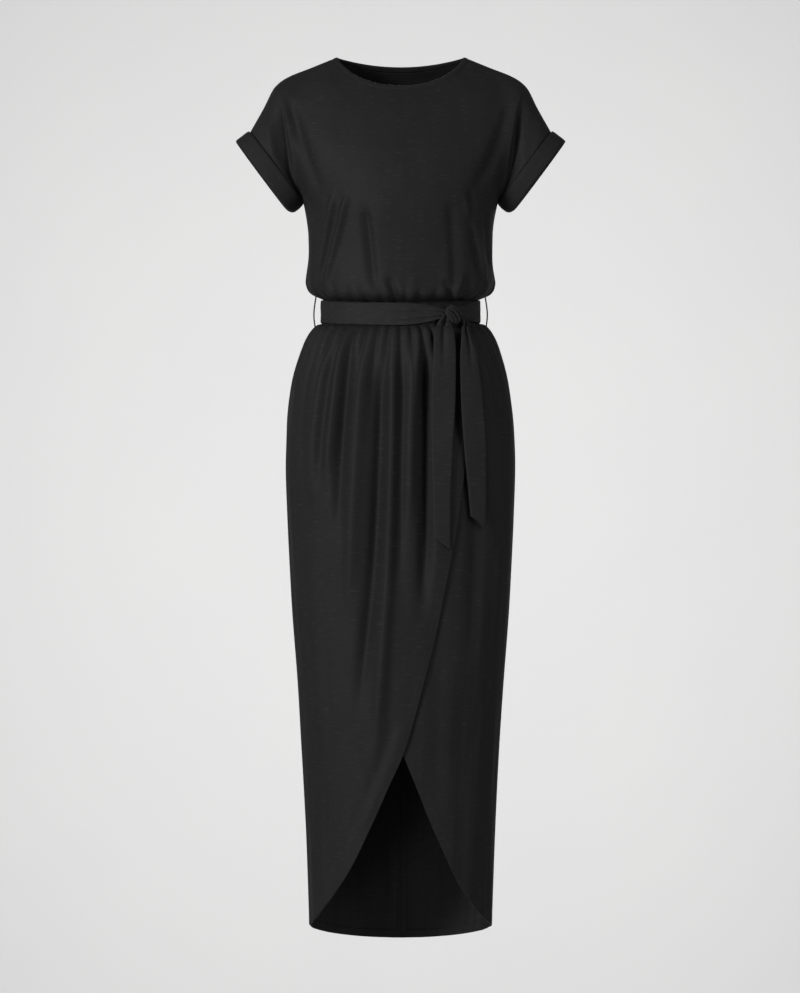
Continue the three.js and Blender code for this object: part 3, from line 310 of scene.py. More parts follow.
def table_curve(table, output, reference=0):
    """A curve through the rows of a table, from its reference column to the output column:
    cubics whose slopes are harmonic means of their neighbours, so it never overshoots."""
    rows = np.array(sorted([(row[reference], row[output]) for row in table]), dtype=float)
    given, wanted = rows[:, 0], rows[:, 1]
    rise = np.diff(wanted) / np.diff(given)
    product = rise[:-1] * rise[1:]
    total = rise[:-1] + rise[1:]
    inner = np.where(product > 0, 2 * product / np.where(total == 0, 1, total), 0)
    slopes = np.concatenate([rise[:1], inner, rise[-1:]])

    def curve(value):
        value = np.clip(value, given[0], given[-1])
        i = np.clip(np.searchsorted(given, value, side="right") - 1, 0, len(given) - 2)
        span = given[i + 1] - given[i]
        t = (value - given[i]) / span
        bend0, bend1 = span * slopes[i], span * slopes[i + 1]
        change = wanted[i + 1] - wanted[i]
        cubic = (bend0 + bend1 - 2 * change) * t ** 3
        return wanted[i] + bend0 * t + (3 * change - 2 * bend0 - bend1) * t ** 2 + cubic

    return curve


def section_curves(table):
    """Half width and the two depths of a table of level sections, as functions of height."""
    return {"width": table_curve(table, 1), "front": table_curve(table, 2),
            "back": table_curve(table, 3)}


def waist_dip(angle, z, side):
    """How much lower the waist line hangs in front than at the sides: a cosine round the
    front that fades away from the waist."""
    if side == "back":
        return np.zeros(np.broadcast(angle, z).shape)
    fade = 1 - smoothstep(np.abs(z - WAIST_HEIGHT), WAIST_DIP_FULL, WAIST_DIP_REACH)
    return WAIST_DIP * np.maximum(0, np.cos(angle)) * fade


def fold_lift(folds, angle, z, sections, side):
    """Lift of the long folds: each runs along a parabola through its three points, is a bell
    across, and fades in and out over its two ends."""
    width = sections["width"](z)
    radius = (width + sections[side](z)) / 2
    lift = np.zeros(np.broadcast(angle, z).shape)
    for x0, z0, x1, z1, x2, z2, half_width, height in folds:
        along = np.clip((z0 - z) / (z0 - z2), 0, 1)
        turn = (z0 - z1) / (z0 - z2)
        bend = (x1 - mix(x0, x2, turn)) / (turn * (1 - turn))
        middle = np.arcsin(np.clip((mix(x0, x2, along) + bend * along * (1 - along)) / width, -1, 1))
        across = (angle - middle) * radius / half_width
        ends = smoothstep(along, 0, 0.2) * (1 - smoothstep(along, 0.7, 1))
        lift += height * ends * np.exp(-across ** 2)
    return lift * smoothstep(90 - np.abs(np.degrees(angle)), 0, 12)


def uneven_gathers(count, height, fade):
    """A table of gathers as many as fit the width, uneven in width, height and fade."""
    i = np.arange(count)
    until = -90 + 180 / count * (i + 1 + 0.2 * np.sin(2.3 * i + 1))
    until[-1] = 90
    heights = height * (1 + 0.16 * np.sin(3.1 * i))
    return np.stack([until, heights, fade * (1 + 0.35 * np.sin(1.9 * i + 2))], axis=1)


BODICE_BACK_GATHERS = uneven_gathers(16, 4.6, 40)


def gather_angle(gathers, place):
    """The angle, in radians, of a place counted in gathers from the left side seam."""
    edges = np.concatenate([[-90], np.array(gathers)[:, 0]])
    return np.radians(np.interp(place, np.arange(len(edges)), edges))


# The crest's power below 1 draws the valleys between gathers in tighter than the crests. They
# reach their full height 22 mm above the waist and 24 mm below it, and fade from there. On the
# skirt they fade 1.7 times as slowly as the table says.
CREST_POWER = 0.64
GATHERS_ABOVE, GATHERS_BELOW, SKIRT_FADE = 22, 24, 1.7


def gather_at(gathers, angle):
    """Height and fade of the gather at each angle, and its crest: a raised cosine from one
    valley to the next, drawn in tighter at the valleys."""
    table = np.array(gathers)
    edges = np.concatenate([[-90], table[:, 0]])
    degrees = np.clip(np.degrees(angle), -90, 89.999)
    index = np.clip(np.searchsorted(edges, degrees, side="right") - 1, 0, len(table) - 1)
    phase = (degrees - edges[index]) / (edges[index + 1] - edges[index])
    crest = ((1 - np.cos(2 * math.pi * phase)) / 2) ** CREST_POWER
    return table[index, 1], table[index, 2], crest


def bodice_gather_lift(gathers, angle, z):
    """Lift of the gathers above the belt: low under it, full just above, fading upwards."""
    height, fade, crest = gather_at(gathers, angle)
    rise = z - (WAIST_HEIGHT + GATHERS_ABOVE)
    full = height * np.exp(-(np.maximum(0, rise) / fade) ** 2)
    return crest * mix(UNDER_BELT_LIFT, full, smoothstep(rise, -4, 8))


def soft_ripple(u, v, seed, length_u, length_v, height, waves=14):
    """Small uneven waves of hanging cloth: a sum of cosines whose lengths and phases are
    drawn at random from a fixed seed, with the given typical lengths across and down."""
    random = np.random.default_rng(seed)
    total = np.zeros(np.broadcast(u, v).shape)
    for _ in range(waves):
        turn_u = random.normal(0, 1) * 2 * math.pi / length_u
        turn_v = random.normal(0, 1) * 2 * math.pi / length_v
        total += np.cos(u * turn_u + v * turn_v + random.uniform(0, 2 * math.pi))
    return height * total / math.sqrt(waves)


bodice_sections = section_curves(BODICE_SECTIONS)
shoulder_height = table_curve(SHOULDER_LINE, 1)
side_row_height = table_curve([(CUFF_ROWS + i, z) for i, z in enumerate(SIDE_ROWS)], 1)
neck_seam_half_width = NECK_HALF_WIDTH + NECK_BAND_WIDTH


def neck_height(x, half_width, drop, side):
    """Height of the neck edge: level with the shoulders at its corners, and a superellipse in
    front or a parabola behind between them."""
    corner = shoulder_height(half_width)
    across = np.clip(np.abs(x) / half_width, 0, 1)
    shape = (1 - across ** 2.3) ** 0.75 if side == "front" else 1 - across ** 2
    return corner - (drop + corner) * shape


def body_depth(x, z, side):
    """How deep the body of the bodice is: nearly an ellipse in each level section, rounded
    off towards the shoulder line over the shoulder rounding."""
    power = mix(CHEST_POWER, 2, smoothstep(-z, 120, -SIDE_ROWS[0]))
    across = np.clip(np.abs(x) / bodice_sections["width"](z), 0, 1)
    over_neck = 0.5 * (NECK_HALF_WIDTH - np.abs(x))
    shoulder = np.where(np.abs(x) < NECK_HALF_WIDTH, over_neck, shoulder_height(np.abs(x)))
    below = np.clip((shoulder - z) / SHOULDER_ROUNDING, 0, 1)
    return bodice_sections[side](z) * np.sqrt(1 - across ** power) * np.sqrt(1 - (1 - below) ** 2)


def bodice_points(column, row, side, gathers):
    """The smooth bodice over columns from the left side to the right and rows from the top
    edge down. Rows 0 to 8 end on the cuff and the rest on the side seam. The body and the
    sleeve each have a depth, and a high power mean lets the larger one win."""
    across = column / COLUMNS_PER_SIDE - 1
    reach = np.abs(across)
    angle = gather_angle(gathers, column / COLUMNS_PER_SIDE * (len(gathers) / 2))
    neck_share = NECK_COLUMNS / COLUMNS_PER_SIDE
    on_neck = neck_seam_half_width * np.sin(math.pi / 2 * np.minimum(reach / neck_share, 1))
    on_shoulder = mix(neck_seam_half_width, CUFF_TOP[0], (reach - neck_share) / (1 - neck_share))
    top_x = np.where(reach < neck_share, on_neck, on_shoulder)
    sweep = math.pi * np.clip(row, 0, CUFF_ROWS) / CUFF_ROWS
    along_cuff = (1 - np.cos(sweep)) / 2
    on_cuff = row < CUFF_ROWS
    side_z = np.where(on_cuff, mix(CUFF_TOP[1], CUFF_UNDER[1], along_cuff), side_row_height(row))
    cuff_x = mix(CUFF_TOP[0], CUFF_UNDER[0], along_cuff)
    side_x = np.where(on_cuff, cuff_x, bodice_sections["width"](side_z))
    spread = smoothstep(row, 0, CUFF_ROWS)
    x = side_x * mix(np.sign(across) * top_x / CUFF_TOP[0], np.sin(angle), spread)
    drop = NECK_DROP[side] + NECK_BAND_WIDTH
    neck_z = neck_height(top_x, neck_seam_half_width, drop, side)
    top_z = np.where(top_x < neck_seam_half_width, neck_z, shoulder_height(top_x))
    down_middle = np.maximum(0, row / CUFF_ROWS) ** 1.4
    underarm_z = SIDE_ROWS[0] - waist_dip(angle, SIDE_ROWS[0], side)
    upper_z = mix(top_z, underarm_z, mix(down_middle, along_cuff, reach ** 3))
    z = np.where(on_cuff, upper_z, side_z - waist_dip(angle, side_z, side))
    level = np.where(on_cuff, z, side_z)
    sleeve = SLEEVE_HALF_DEPTH * np.sin(sweep) * smoothstep(reach, 0.3, 0.8)
    below = bodice_sections[side](level) * np.cos(angle)
    body = np.where(row > CUFF_ROWS, below, body_depth(x, level, side))
    power = DRAPE_LINE_POWER
    depth = (np.maximum(body, 0) ** power + sleeve ** power) ** (1 / power)
    return np.stack([x, SIDE_OF[side] * depth, z], axis=-1)


def grid_normals(points):
    """Unit normal of a grid of points at each of them: the cross product of the way along
    its row and the way down its column."""
    along = np.gradient(points, axis=1)
    down = np.gradient(points, axis=0)
    normals = np.cross(along, down)
    return normals / np.maximum(np.linalg.norm(normals, axis=-1, keepdims=True), 1e-9)


def outward(normals, points):
    """The normals turned, where needed, to face away from the garment's upright axis."""
    facing = np.sum(normals[..., :2] * points[..., :2], axis=-1, keepdims=True)
    return np.where(facing < 0, -normals, normals)


def cloth_uv(points):
    """Place on the cloth of each point: the length along its row from the middle column, and
    the length up its column from the lowest row's height."""
    steps = np.linalg.norm(np.diff(points, axis=1), axis=-1)
    along = np.concatenate([np.zeros((len(points), 1)), np.cumsum(steps, axis=1)], axis=1)
    along -= along[:, along.shape[1] // 2][:, None]
    steps = np.linalg.norm(np.diff(points[::-1], axis=0), axis=-1)
    up = np.concatenate([np.zeros((1, points.shape[1])), np.cumsum(steps, axis=0)])[::-1]
    return np.stack([along, points[-1, :, 2] + up], axis=-1)


def set_traits(piece, hem=1.0, along=1.0):
    """Keeps for the material how far each point is from the hem and how far along it, both in
    metres. The usual metre is too far away for a hem stitch to show."""
    for trait, values in (("hem", hem), ("along", along)):
        layer = piece.data.attributes.new(trait, "FLOAT", "POINT")
        each = np.broadcast_to(values, len(piece.data.vertices))
        layer.data.foreach_set("value", each.astype(np.float32))


def cloth_wall(name, points, normals, lift, thickness, uv, hem=1.0, along=1.0):
    """A closed wall of cloth on a grid: the outer skin is lifted along the normals, the inner
    skin lies the thickness further in, and a rim joins them round the free edges."""
    rows, columns = points.shape[:2]
    count = rows * columns
    outer = points + normals * lift[..., None]
    inner = outer - normals * np.broadcast_to(thickness, lift.shape)[..., None]
    skin = grid_faces(rows, columns)
    index = np.arange(count).reshape(rows, columns)
    border = np.concatenate([index[0], index[1:, -1], index[-1, -2::-1], index[-2:0:-1, 0]])
    following = np.roll(border, -1)
    rim = np.stack([border, following, following + count, border + count], axis=1)
    first = skin[0]
    corner = outer.reshape(-1, 3)
    facing = np.cross(corner[first[1]] - corner[first[0]], corner[first[3]] - corner[first[0]])
    faces = np.concatenate([skin, (skin + count)[:, ::-1], rim])
    if np.dot(facing, normals.reshape(-1, 3)[first[0]]) < 0:
        faces = faces[:, ::-1]
    vertices = np.concatenate([corner, inner.reshape(-1, 3)])
    flat_uv = np.tile(uv.reshape(-1, 2), (2, 1))
    piece = mesh_object(name, vertices, faces, flat_uv)
    both_skins = [np.tile(np.broadcast_to(trait, lift.shape).ravel(), 2) for trait in (hem, along)]
    set_traits(piece, *both_skins)
    return piece


JERSEY_TONE = 0.0112
HEM_STITCH_LINE, STITCH_LENGTH, STITCH_HALF_WIDTH = 11, 3.2, 0.7

# Grains of the yarn's flecks, of its fine streaks and of the knit, for each metre across the
# cloth and down it
FLECK_GRAIN, STREAK_GRAIN, KNIT_GRAIN = (56, 380, 1), (190, 1250, 1), (900, 1300, 1)


def jersey_finish(name, tone, roughness=0.64):
    """Slub jersey: a dark yarn colour with broad soft variation, short level flecks where the
    yarn is thicker and paler, a fine knit relief and a line of hem stitches. The cloth's UV
    map and its hem and along traits are in metres."""
    finish = Finish(name, Roughness=roughness, Specular_IOR_Level=0.07)
    cloth = finish.node("ShaderNodeUVMap", {"uv_map": "cloth"})
    yarn_place = finish.node("ShaderNodeMapping", Vector=cloth, Scale=FLECK_GRAIN)
    flecks = finish.node("ShaderNodeTexNoise", {"noise_dimensions": "2D"}, Vector=yarn_place,
                         Scale=1.0, Detail=1.5, Roughness=0.5)
    streak_place = finish.node("ShaderNodeMapping", Vector=cloth, Scale=STREAK_GRAIN)
    streaks = finish.node("ShaderNodeTexNoise", {"noise_dimensions": "2D"}, Vector=streak_place,
                          Scale=1.0, Detail=1.0)
    broad = finish.node("ShaderNodeTexNoise", {"noise_dimensions": "2D"}, Vector=cloth,
                        Scale=9.0, Detail=2.0)
    fleck = (flecks - 0.62) * 6
    fleck = fleck.math("MAXIMUM", fleck.math("MINIMUM", fleck, 1.0), 0.0)
    shade = 0.74 + broad * 0.26 + streaks * 0.2 + fleck * 0.5
    hem = finish.node("ShaderNodeAttribute", {"attribute_name": "hem"}, output=2)
    along = finish.node("ShaderNodeAttribute", {"attribute_name": "along"}, output=2)
    off_line = hem.math("ABSOLUTE", hem - HEM_STITCH_LINE * MM)
    on_line = off_line.math("LESS_THAN", off_line, STITCH_HALF_WIDTH * MM)
    dash = along.math("SINE", along * (2 * math.pi / (STITCH_LENGTH * MM)))
    stitch = on_line * dash.math("GREATER_THAN", dash, -0.45)
    groove = 1 - off_line.math("MINIMUM", off_line * 600, 1.0)
    tint = finish.node("ShaderNodeCombineColor", Red=shade * tone * (1 + stitch * 0.2),
                       Green=shade * tone * (1 + stitch * 0.2),
                       Blue=shade * (tone * 1.03) * (1 + stitch * 0.2))
    finish.put(finish.shader.inputs["Base Color"], tint)
    knit_place = finish.node("ShaderNodeMapping", Vector=cloth, Scale=KNIT_GRAIN)
    knit = finish.node("ShaderNodeTexNoise", {"noise_dimensions": "2D"}, Vector=knit_place,
                       Scale=1.0, Detail=0.0)
    relief = knit * 0.5 + fleck * 0.6 - groove * 0.9 + stitch * 0.5
    bump = finish.node("ShaderNodeBump", Height=relief, Strength=0.55, Distance=0.00035)
    finish.put(finish.shader.inputs["Normal"], bump)
    return finish.material


jersey = jersey_finish("jersey", JERSEY_TONE)

BODICE_COLUMN_STEPS = 8
SEAM_PUCKER = 0.5
NEAR_CUFF, NEAR_SEAM = 0.93, 0.985

# First row, last row and number of steps between them
BODICE_ROW_SPANS = [(0, 8, 56), (8, 13, 40), (13, BODICE_ROWS, 27)]

# Small waves of the cloth: typical length across and down, and height
BODICE_RIPPLES = [(95, 130, 0.55), (34, 60, 0.08)]

# Edge of the body's cloth where it hangs over the sleeve: z, x, and how far the sleeve lies
# behind it there
DRAPE_LINE = [
    (-55, 188, 0), (-80, 181, 3), (-97, 177.5, 6.5), (-124, 173.5, 9), (-150, 169, 9),
    (-171, 165.5, 8), (-190, 162, 6), (-208, 157, 3.5), (-226, 151, 0),
]
DRAPE_FALL, DRAPE_CUFF_SHARE = 17, 0.6
DRAPE_SHARE_LEFT, DRAPE_SHARE_RIGHT = 1.15, 1.75

# Soft folds of the sleeves: x and z of both ends of each middle line, half width and height
SLEEVE_FOLDS = [(-209, -84, -190, -186, 8, 4.0), (206, -84, 196, -172, 9, -3.0)]


def cuff_distance(x, z):
    """Distance of a place, seen from the front, from the straight line of the nearer cuff."""
    along_z = (z - CUFF_UNDER[1]) * (CUFF_TOP[0] - CUFF_UNDER[0])
    along_x = (np.abs(x) - CUFF_UNDER[0]) * (CUFF_TOP[1] - CUFF_UNDER[1])
    return (along_z - along_x) / CUFF_LENGTH


def sleeve_lift(x, z):
    """Lift of the cloth on the sleeves. Just outside the drape line it falls back at once and
    eases out again before the cuff. The soft folds are bells about straight lines. Both end
    at the cuff, whose distance is measured square to its line."""
    line_x = table_curve(DRAPE_LINE, 1)(z)
    fall = np.clip(DRAPE_CUFF_SHARE * cuff_distance(line_x, z), 4, DRAPE_FALL)
    outside = np.abs(x) - line_x
    easing = np.exp(-(np.maximum(outside, 0) / fall) ** 1.6)
    share = np.where(x < 0, DRAPE_SHARE_LEFT, DRAPE_SHARE_RIGHT)
    lift = -share * table_curve(DRAPE_LINE, 2)(z) * smoothstep(outside, -1.5, 3) * easing
    for x0, z0, x1, z1, half_width, height in SLEEVE_FOLDS:
        length = math.dist((x0, z0), (x1, z1))
        along = ((x - x0) * (x1 - x0) + (z - z0) * (z1 - z0)) / length ** 2
        across = ((x - x0) * (z1 - z0) - (z - z0) * (x1 - x0)) / length / half_width
        ends = smoothstep(along, 0, 0.4) * (1 - smoothstep(along, 0.6, 1.1))
        lift += height * ends * np.exp(-across ** 2)
    return lift * smoothstep(cuff_distance(x, z), 0.5, 5)


def square_to_cuff(across, row, side):
    """The way square to the cuff's ellipse, at each place of the sweep round it."""
    sweep = math.pi * np.clip(row, 0, CUFF_ROWS) / CUFF_ROWS
    line_x = np.sign(across) * (CUFF_UNDER[0] - CUFF_TOP[0]) / CUFF_LENGTH
    line_z = (CUFF_UNDER[1] - CUFF_TOP[1]) / CUFF_LENGTH
    lengthways = -np.cos(sweep) / (CUFF_LENGTH / 2)
    sideways = SIDE_OF[side] * np.sin(sweep) / SLEEVE_HALF_DEPTH
    return unit(np.stack([line_x * lengthways, sideways, line_z * lengthways], axis=-1))


def bodice_normals(points, column, row, side):
    """The way outwards of the bodice: square to the cuff near it, without depth in the
    shoulder and side seams, and level at the waist, so that neighbours meet edge to edge."""
    across = column / COLUMNS_PER_SIDE - 1
    reach = np.abs(across)
    near_cuff = (smoothstep(reach, NEAR_CUFF, 1) * (row < CUFF_ROWS))[..., None]
    normals = mix(SIDE_OF[side] * grid_normals(points), square_to_cuff(across, row, side), near_cuff)
    on_shoulder = (1 - smoothstep(row, 0, 0.5)) * (reach >= NECK_COLUMNS / COLUMNS_PER_SIDE)
    normals[..., 1] *= 1 - np.maximum(on_shoulder, smoothstep(reach, NEAR_SEAM, 1))
    normals[..., 2] *= 1 - smoothstep(row, BODICE_ROWS - 1, BODICE_ROWS)
    return unit(normals)


def bodice_panel(side, gathers, folds, seed):
    """One half of the bodice as a wall of cloth, with its gathers, folds and small waves."""
    columns = np.linspace(0, 2 * COLUMNS_PER_SIDE, 2 * COLUMNS_PER_SIDE * BODICE_COLUMN_STEPS + 1)
    spans = [np.linspace(first, last, steps + 1)[:-1] for first, last, steps in BODICE_ROW_SPANS]
    column, row = np.meshgrid(columns, np.concatenate(spans + [[BODICE_ROWS]]))
    points = bodice_points(column, row, side, gathers)
    normals = bodice_normals(points, column, row, side)
    reach = np.abs(column / COLUMNS_PER_SIDE - 1)
    angle = gather_angle(gathers, column / COLUMNS_PER_SIDE * (len(gathers) / 2))
    level = points[..., 2] + waist_dip(angle, points[..., 2], side)
    fold_angle = np.arcsin(np.clip(points[..., 0] / bodice_sections["width"](level), -1, 1))
    lift = bodice_gather_lift(gathers, angle, level)
    lift += fold_lift(folds, fold_angle, level, bodice_sections, side)
    lift += smoothstep(row, 0.2, 1.5) * sleeve_lift(points[..., 0], points[..., 2])
    uv = cloth_uv(points)
    free = smoothstep(row, 0, 1.5) * (1 - smoothstep(reach, NEAR_CUFF, 1))
    free = free * (1 - smoothstep(row, BODICE_ROWS - 1.5, BODICE_ROWS))
    for number, ripple in enumerate(BODICE_RIPPLES):
        lift += free * soft_ripple(uv[..., 0], uv[..., 1], seed + number, *ripple)
    side_seam = (1 - smoothstep(1 - reach, 0, 0.02)) * (row > CUFF_ROWS)
    lift -= SEAM_PUCKER * side_seam
    return cloth_wall("jersey_bodice_" + side, points, normals, lift, CLOTH, uv)


def sew_on(piece, material, node):
    """Gives a piece its finish and its body, and hides the imported part of the node that it stands
    for."""
    piece.data.materials.append(material)
    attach(piece, "root")
    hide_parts(node)


bodice_front = bodice_panel("front", BODICE_FRONT_GATHERS, BODICE_FRONT_FOLDS, 11)
sew_on(bodice_front, jersey, "bodice_front")
bodice_back = bodice_panel("back", BODICE_BACK_GATHERS, BODICE_BACK_FOLDS, 23)
sew_on(bodice_back, jersey, "bodice_back")


# Neck band: a narrow strip of the same jersey, folded over and sewn round the neckline from
# shoulder corner to shoulder corner, with a seam line where it meets the bodice.

# Share of the way from the neck seam to the neck edge, and height over the cloth
NECK_SECTION = [
    (0.02, -0.6), (0.1, 0.0), (0.3, 0.35), (0.55, 0.4), (0.78, 0.2), (0.93, -0.2), (1.0, -0.8),
    (0.93, -1.6), (0.78, -2.05), (0.5, -2.1), (0.2, -1.95), (0.04, -1.8),
]
NECK_STEPS = 24
NECK_SMOOTHING = 12


def sweep(name, sections, closed=False):
    """A tube through closed sections, turned to face outwards. A closed tube joins its last
    section to its first. An open one ends in sections drawn in to their middles. The cloth's
    place runs along the tube and round the section."""
    if not closed:
        start, end = [[mix(section, section.mean(axis=0), share) for share in (0.5, 0.999)]
                      for section in (sections[0], sections[-1])]
        sections = np.concatenate([start[::-1], sections, end])
    count, size = sections.shape[:2]
    index = np.arange(count * size).reshape(count, size)
    onward = np.roll(index, -1, axis=0)
    faces = np.stack([index, np.roll(index, -1, axis=1), np.roll(onward, -1, axis=1), onward], -1)
    faces = (faces if closed else faces[:-1]).reshape(-1, 4)
    flat = sections.reshape(-1, 3)
    volume = np.sum(flat[faces[:, 0]] * np.cross(flat[faces[:, 1]], flat[faces[:, 2]]))
    volume += np.sum(flat[faces[:, 0]] * np.cross(flat[faces[:, 2]], flat[faces[:, 3]]))
    if volume < 0:
        faces = faces[:, ::-1]
    along = np.broadcast_to(run_along(sections.mean(axis=1))[:, None], (count, size))
    around = np.linalg.norm(np.diff(sections, axis=1, append=sections[:, :1]), axis=-1)
    around = np.cumsum(around, axis=1) - around
    piece = mesh_object(name, flat, faces, np.stack([along, around], axis=-1).reshape(-1, 2))
    set_traits(piece)
    return piece


def neck_edge(side, gathers):
    """Seam points, normals and inner edge of the neck band along one side of the neck, from
    the left shoulder corner to the right one."""
    reach = np.linspace(-NECK_COLUMNS, NECK_COLUMNS, 2 * NECK_COLUMNS * NECK_STEPS + 1)
    column = np.broadcast_to(COLUMNS_PER_SIDE + reach, (3, len(reach)))
    row = np.broadcast_to(np.array([[0.0], [0.03], [0.06]]), column.shape)
    points = bodice_points(column, row, side, gathers)
    normals = grid_normals(points)[0]
    normals = np.where(normals[:, 2:] < 0, -normals, normals)
    seam = points[0]
    edge_x = seam[:, 0] * NECK_HALF_WIDTH / neck_seam_half_width
    edge_z = neck_height(edge_x, NECK_HALF_WIDTH, NECK_DROP[side], side)
    edge_y = SIDE_OF[side] * body_depth(edge_x, edge_z, side)
    return seam, normals, np.stack([edge_x, edge_y, edge_z], axis=-1)


def neck_band():
    """A strip from the neck seam to the neck edge, all round the neck. Its normals are smoothed
    along it by a bell-shaped average, so that it turns gently over the shoulder corners."""
    front = neck_edge("front", BODICE_FRONT_GATHERS)
    back = neck_edge("back", BODICE_BACK_GATHERS)
    seam, normal, inner = [np.concatenate([a[:-1], b[:0:-1]]) for a, b in zip(front, back)]
    corners = np.array([0, 2 * NECK_COLUMNS * NECK_STEPS])
    seam[corners, 1] = 0
    normal[corners, 1] = 0
    bell = np.exp(-np.linspace(-2, 2, 2 * NECK_SMOOTHING + 1) ** 2)
    shifts = range(-NECK_SMOOTHING, NECK_SMOOTHING + 1)
    normal = unit(sum(weight * np.roll(normal, shift, axis=0) for weight, shift in zip(bell, shifts)))
    share, rise = np.array(NECK_SECTION).T[:, None, :, None]
    sections = mix(seam[:, None], inner[:, None], share) + normal[:, None] * rise
    return sweep("jersey_neck_band", sections, closed=True)


TRIM_TONE, BAND_ROUGHNESS = 0.0118, 0.7
trim_jersey = jersey_finish("trim_jersey", TRIM_TONE, BAND_ROUGHNESS)
sew_on(neck_band(), trim_jersey, "neck_band")


# Cuffs: the end of each sleeve carries a folded band of the same jersey, turned up and
# pressed, so that it stands a little proud of the sleeve and keeps a round opening.
CUFF_STEPS = 180
CUFF_ROUNDING = 0.24
CUFF_RIPPLE = (34, 40, 0.35)

# Way out along the sleeve, height over the sleeve's outside, and that height at the underarm
CUFF_SECTION = [
    (0.4, -0.8, -0.9), (0.35, 0.9, -0.4), (0.5, 2.0, 0.2), (2.4, 2.7, 0.9), (6, 2.9, 1.8),
    (12, 2.8, 2.6), (18, 2.8, 2.8), (22.5, 2.7, 2.7), (25, 2.4, 2.4), (26.5, 1.7, 1.7),
    (27, 0.7, 0.7), (26.5, -0.3, -0.3), (25, -0.8, -0.8), (20, -1.0, -1.0), (12, -1.0, -1.0),
    (5, -0.95, -0.95),
]


def cuff_band(name, hand, seed):
    """A band carried round the ellipse of the sleeve's end, with small uneven waves in the
    height of its outer skin. The hand is -1 for the viewer's left and 1 for the right."""
    line = np.array([hand * (CUFF_UNDER[0] - CUFF_TOP[0]), 0, CUFF_UNDER[1] - CUFF_TOP[1]])
    line = line / CUFF_LENGTH
    out = np.array([-hand * line[2], 0, hand * line[0]])
    centre = np.array([hand * (CUFF_TOP[0] + CUFF_UNDER[0]) / 2, 0, (CUFF_TOP[1] + CUFF_UNDER[1]) / 2])
    turn = np.linspace(0, 2 * math.pi, CUFF_STEPS, endpoint=False)[:, None]
    sideways = np.array([0, 1, 0])
    half = CUFF_LENGTH / 2
    rim = centre + line * half * np.cos(turn) + sideways * SLEEVE_HALF_DEPTH * np.sin(turn)
    normal = unit(line * np.cos(turn) / half + sideways * np.sin(turn) / SLEEVE_HALF_DEPTH)
    section = np.array(CUFF_SECTION)
    under = np.maximum(0, np.cos(turn)) ** 6
    rise = mix(section[:, 1], section[:, 2], under)
    ripple = soft_ripple(turn * SLEEVE_HALF_DEPTH, section[:, 0] * 0.3, seed, *CUFF_RIPPLE)
    rise = rise + ripple * smoothstep(section[:, 1], 0.6, 2.4) * (1 - under)
    way_out = section[:, 0] * (1 - CUFF_ROUNDING * np.maximum(0, np.cos(turn)) ** 14)
    sections = rim[:, None] + out * way_out[..., None] + normal[:, None] * rise[..., None]
    return sweep(name, sections, closed=True)


for node, hand, seed in (("cuff_left", -1, 31), ("cuff_right", 1, 37)):
    cuff = cuff_band("jersey_" + node, hand, seed)
    sew_on(cuff, trim_jersey, node)


# Skirt: two front panels that wrap over each other with long curved edges, the viewer's left
# one on top, and a back in two halves joined at the centre-back seam. All are gathered into
# the waist. The curved edges and the back hem are turned in and stitched once.
SIDE_HEM, BACK_HEM_DROP = -1340, 34

# z, half width, depth in front, depth behind
SKIRT_SECTIONS = [
    (-392, 118.6, 88.6, 84.6), (-411.5, 118.8, 88.8, 84.8), (-416.5, 127, 94, 92),
    (-429, 138, 100, 102), (-452, 149, 104, 112), (-506, 166, 110, 121), (-572, 175, 113, 125),
    (-629, 177.5, 113, 124), (-700, 175.5, 112, 121), (-777, 172, 111, 118),
    (-850, 168, 110, 115), (-974, 158.5, 108, 110), (-1077, 152, 106, 107),
    (-1201, 146, 103, 104), (-1380, 140, 100, 100),
]

# z and x of the free edges of the panel on top and of the panel underneath
WRAP_EDGE = [
    (-392, 106), (-638, 97), (-695, 90), (-741, 83), (-797, 72), (-838, 64), (-899, 51.5),
    (-947, 39), (-1008, 23), (-1067, 5), (-1121, -19), (-1186, -48), (-1251, -80),
    (-1287, -104), (-1330, -134), (-1340, -141.4),
]
UNDER_EDGE = [
    (-392, -98), (-638, -89), (-695, -82), (-741, -75), (-797, -64), (-838, -56),
    (-899, -43.5), (-947, -31), (-1008, -15), (-1067, 3), (-1130, 28.5), (-1175, 46.8),
    (-1214, 64), (-1257, 84), (-1287, 101), (-1324, 128.5), (-1340, 141.4),
]
SKIRT_FRONT_GATHERS = [
    (-79, 4.2, 40), (-69, 6.2, 62), (-59, 5.2, 44), (-49, 6.4, 80), (-40, 5.2, 46),
    (-31, 6.0, 66), (-23, 4.6, 40), (-15, 5.6, 90), (-8, 4.4, 48), (0, 5.4, 84), (7, 4.2, 44),
    (14, 5.2, 72), (21, 4.4, 50), (29, 5.2, 66), (37, 5.0, 48), (46, 5.4, 58), (56, 5.4, 44),
    (67, 5.6, 66), (78, 5.4, 48), (90, 4.4, 52),
]
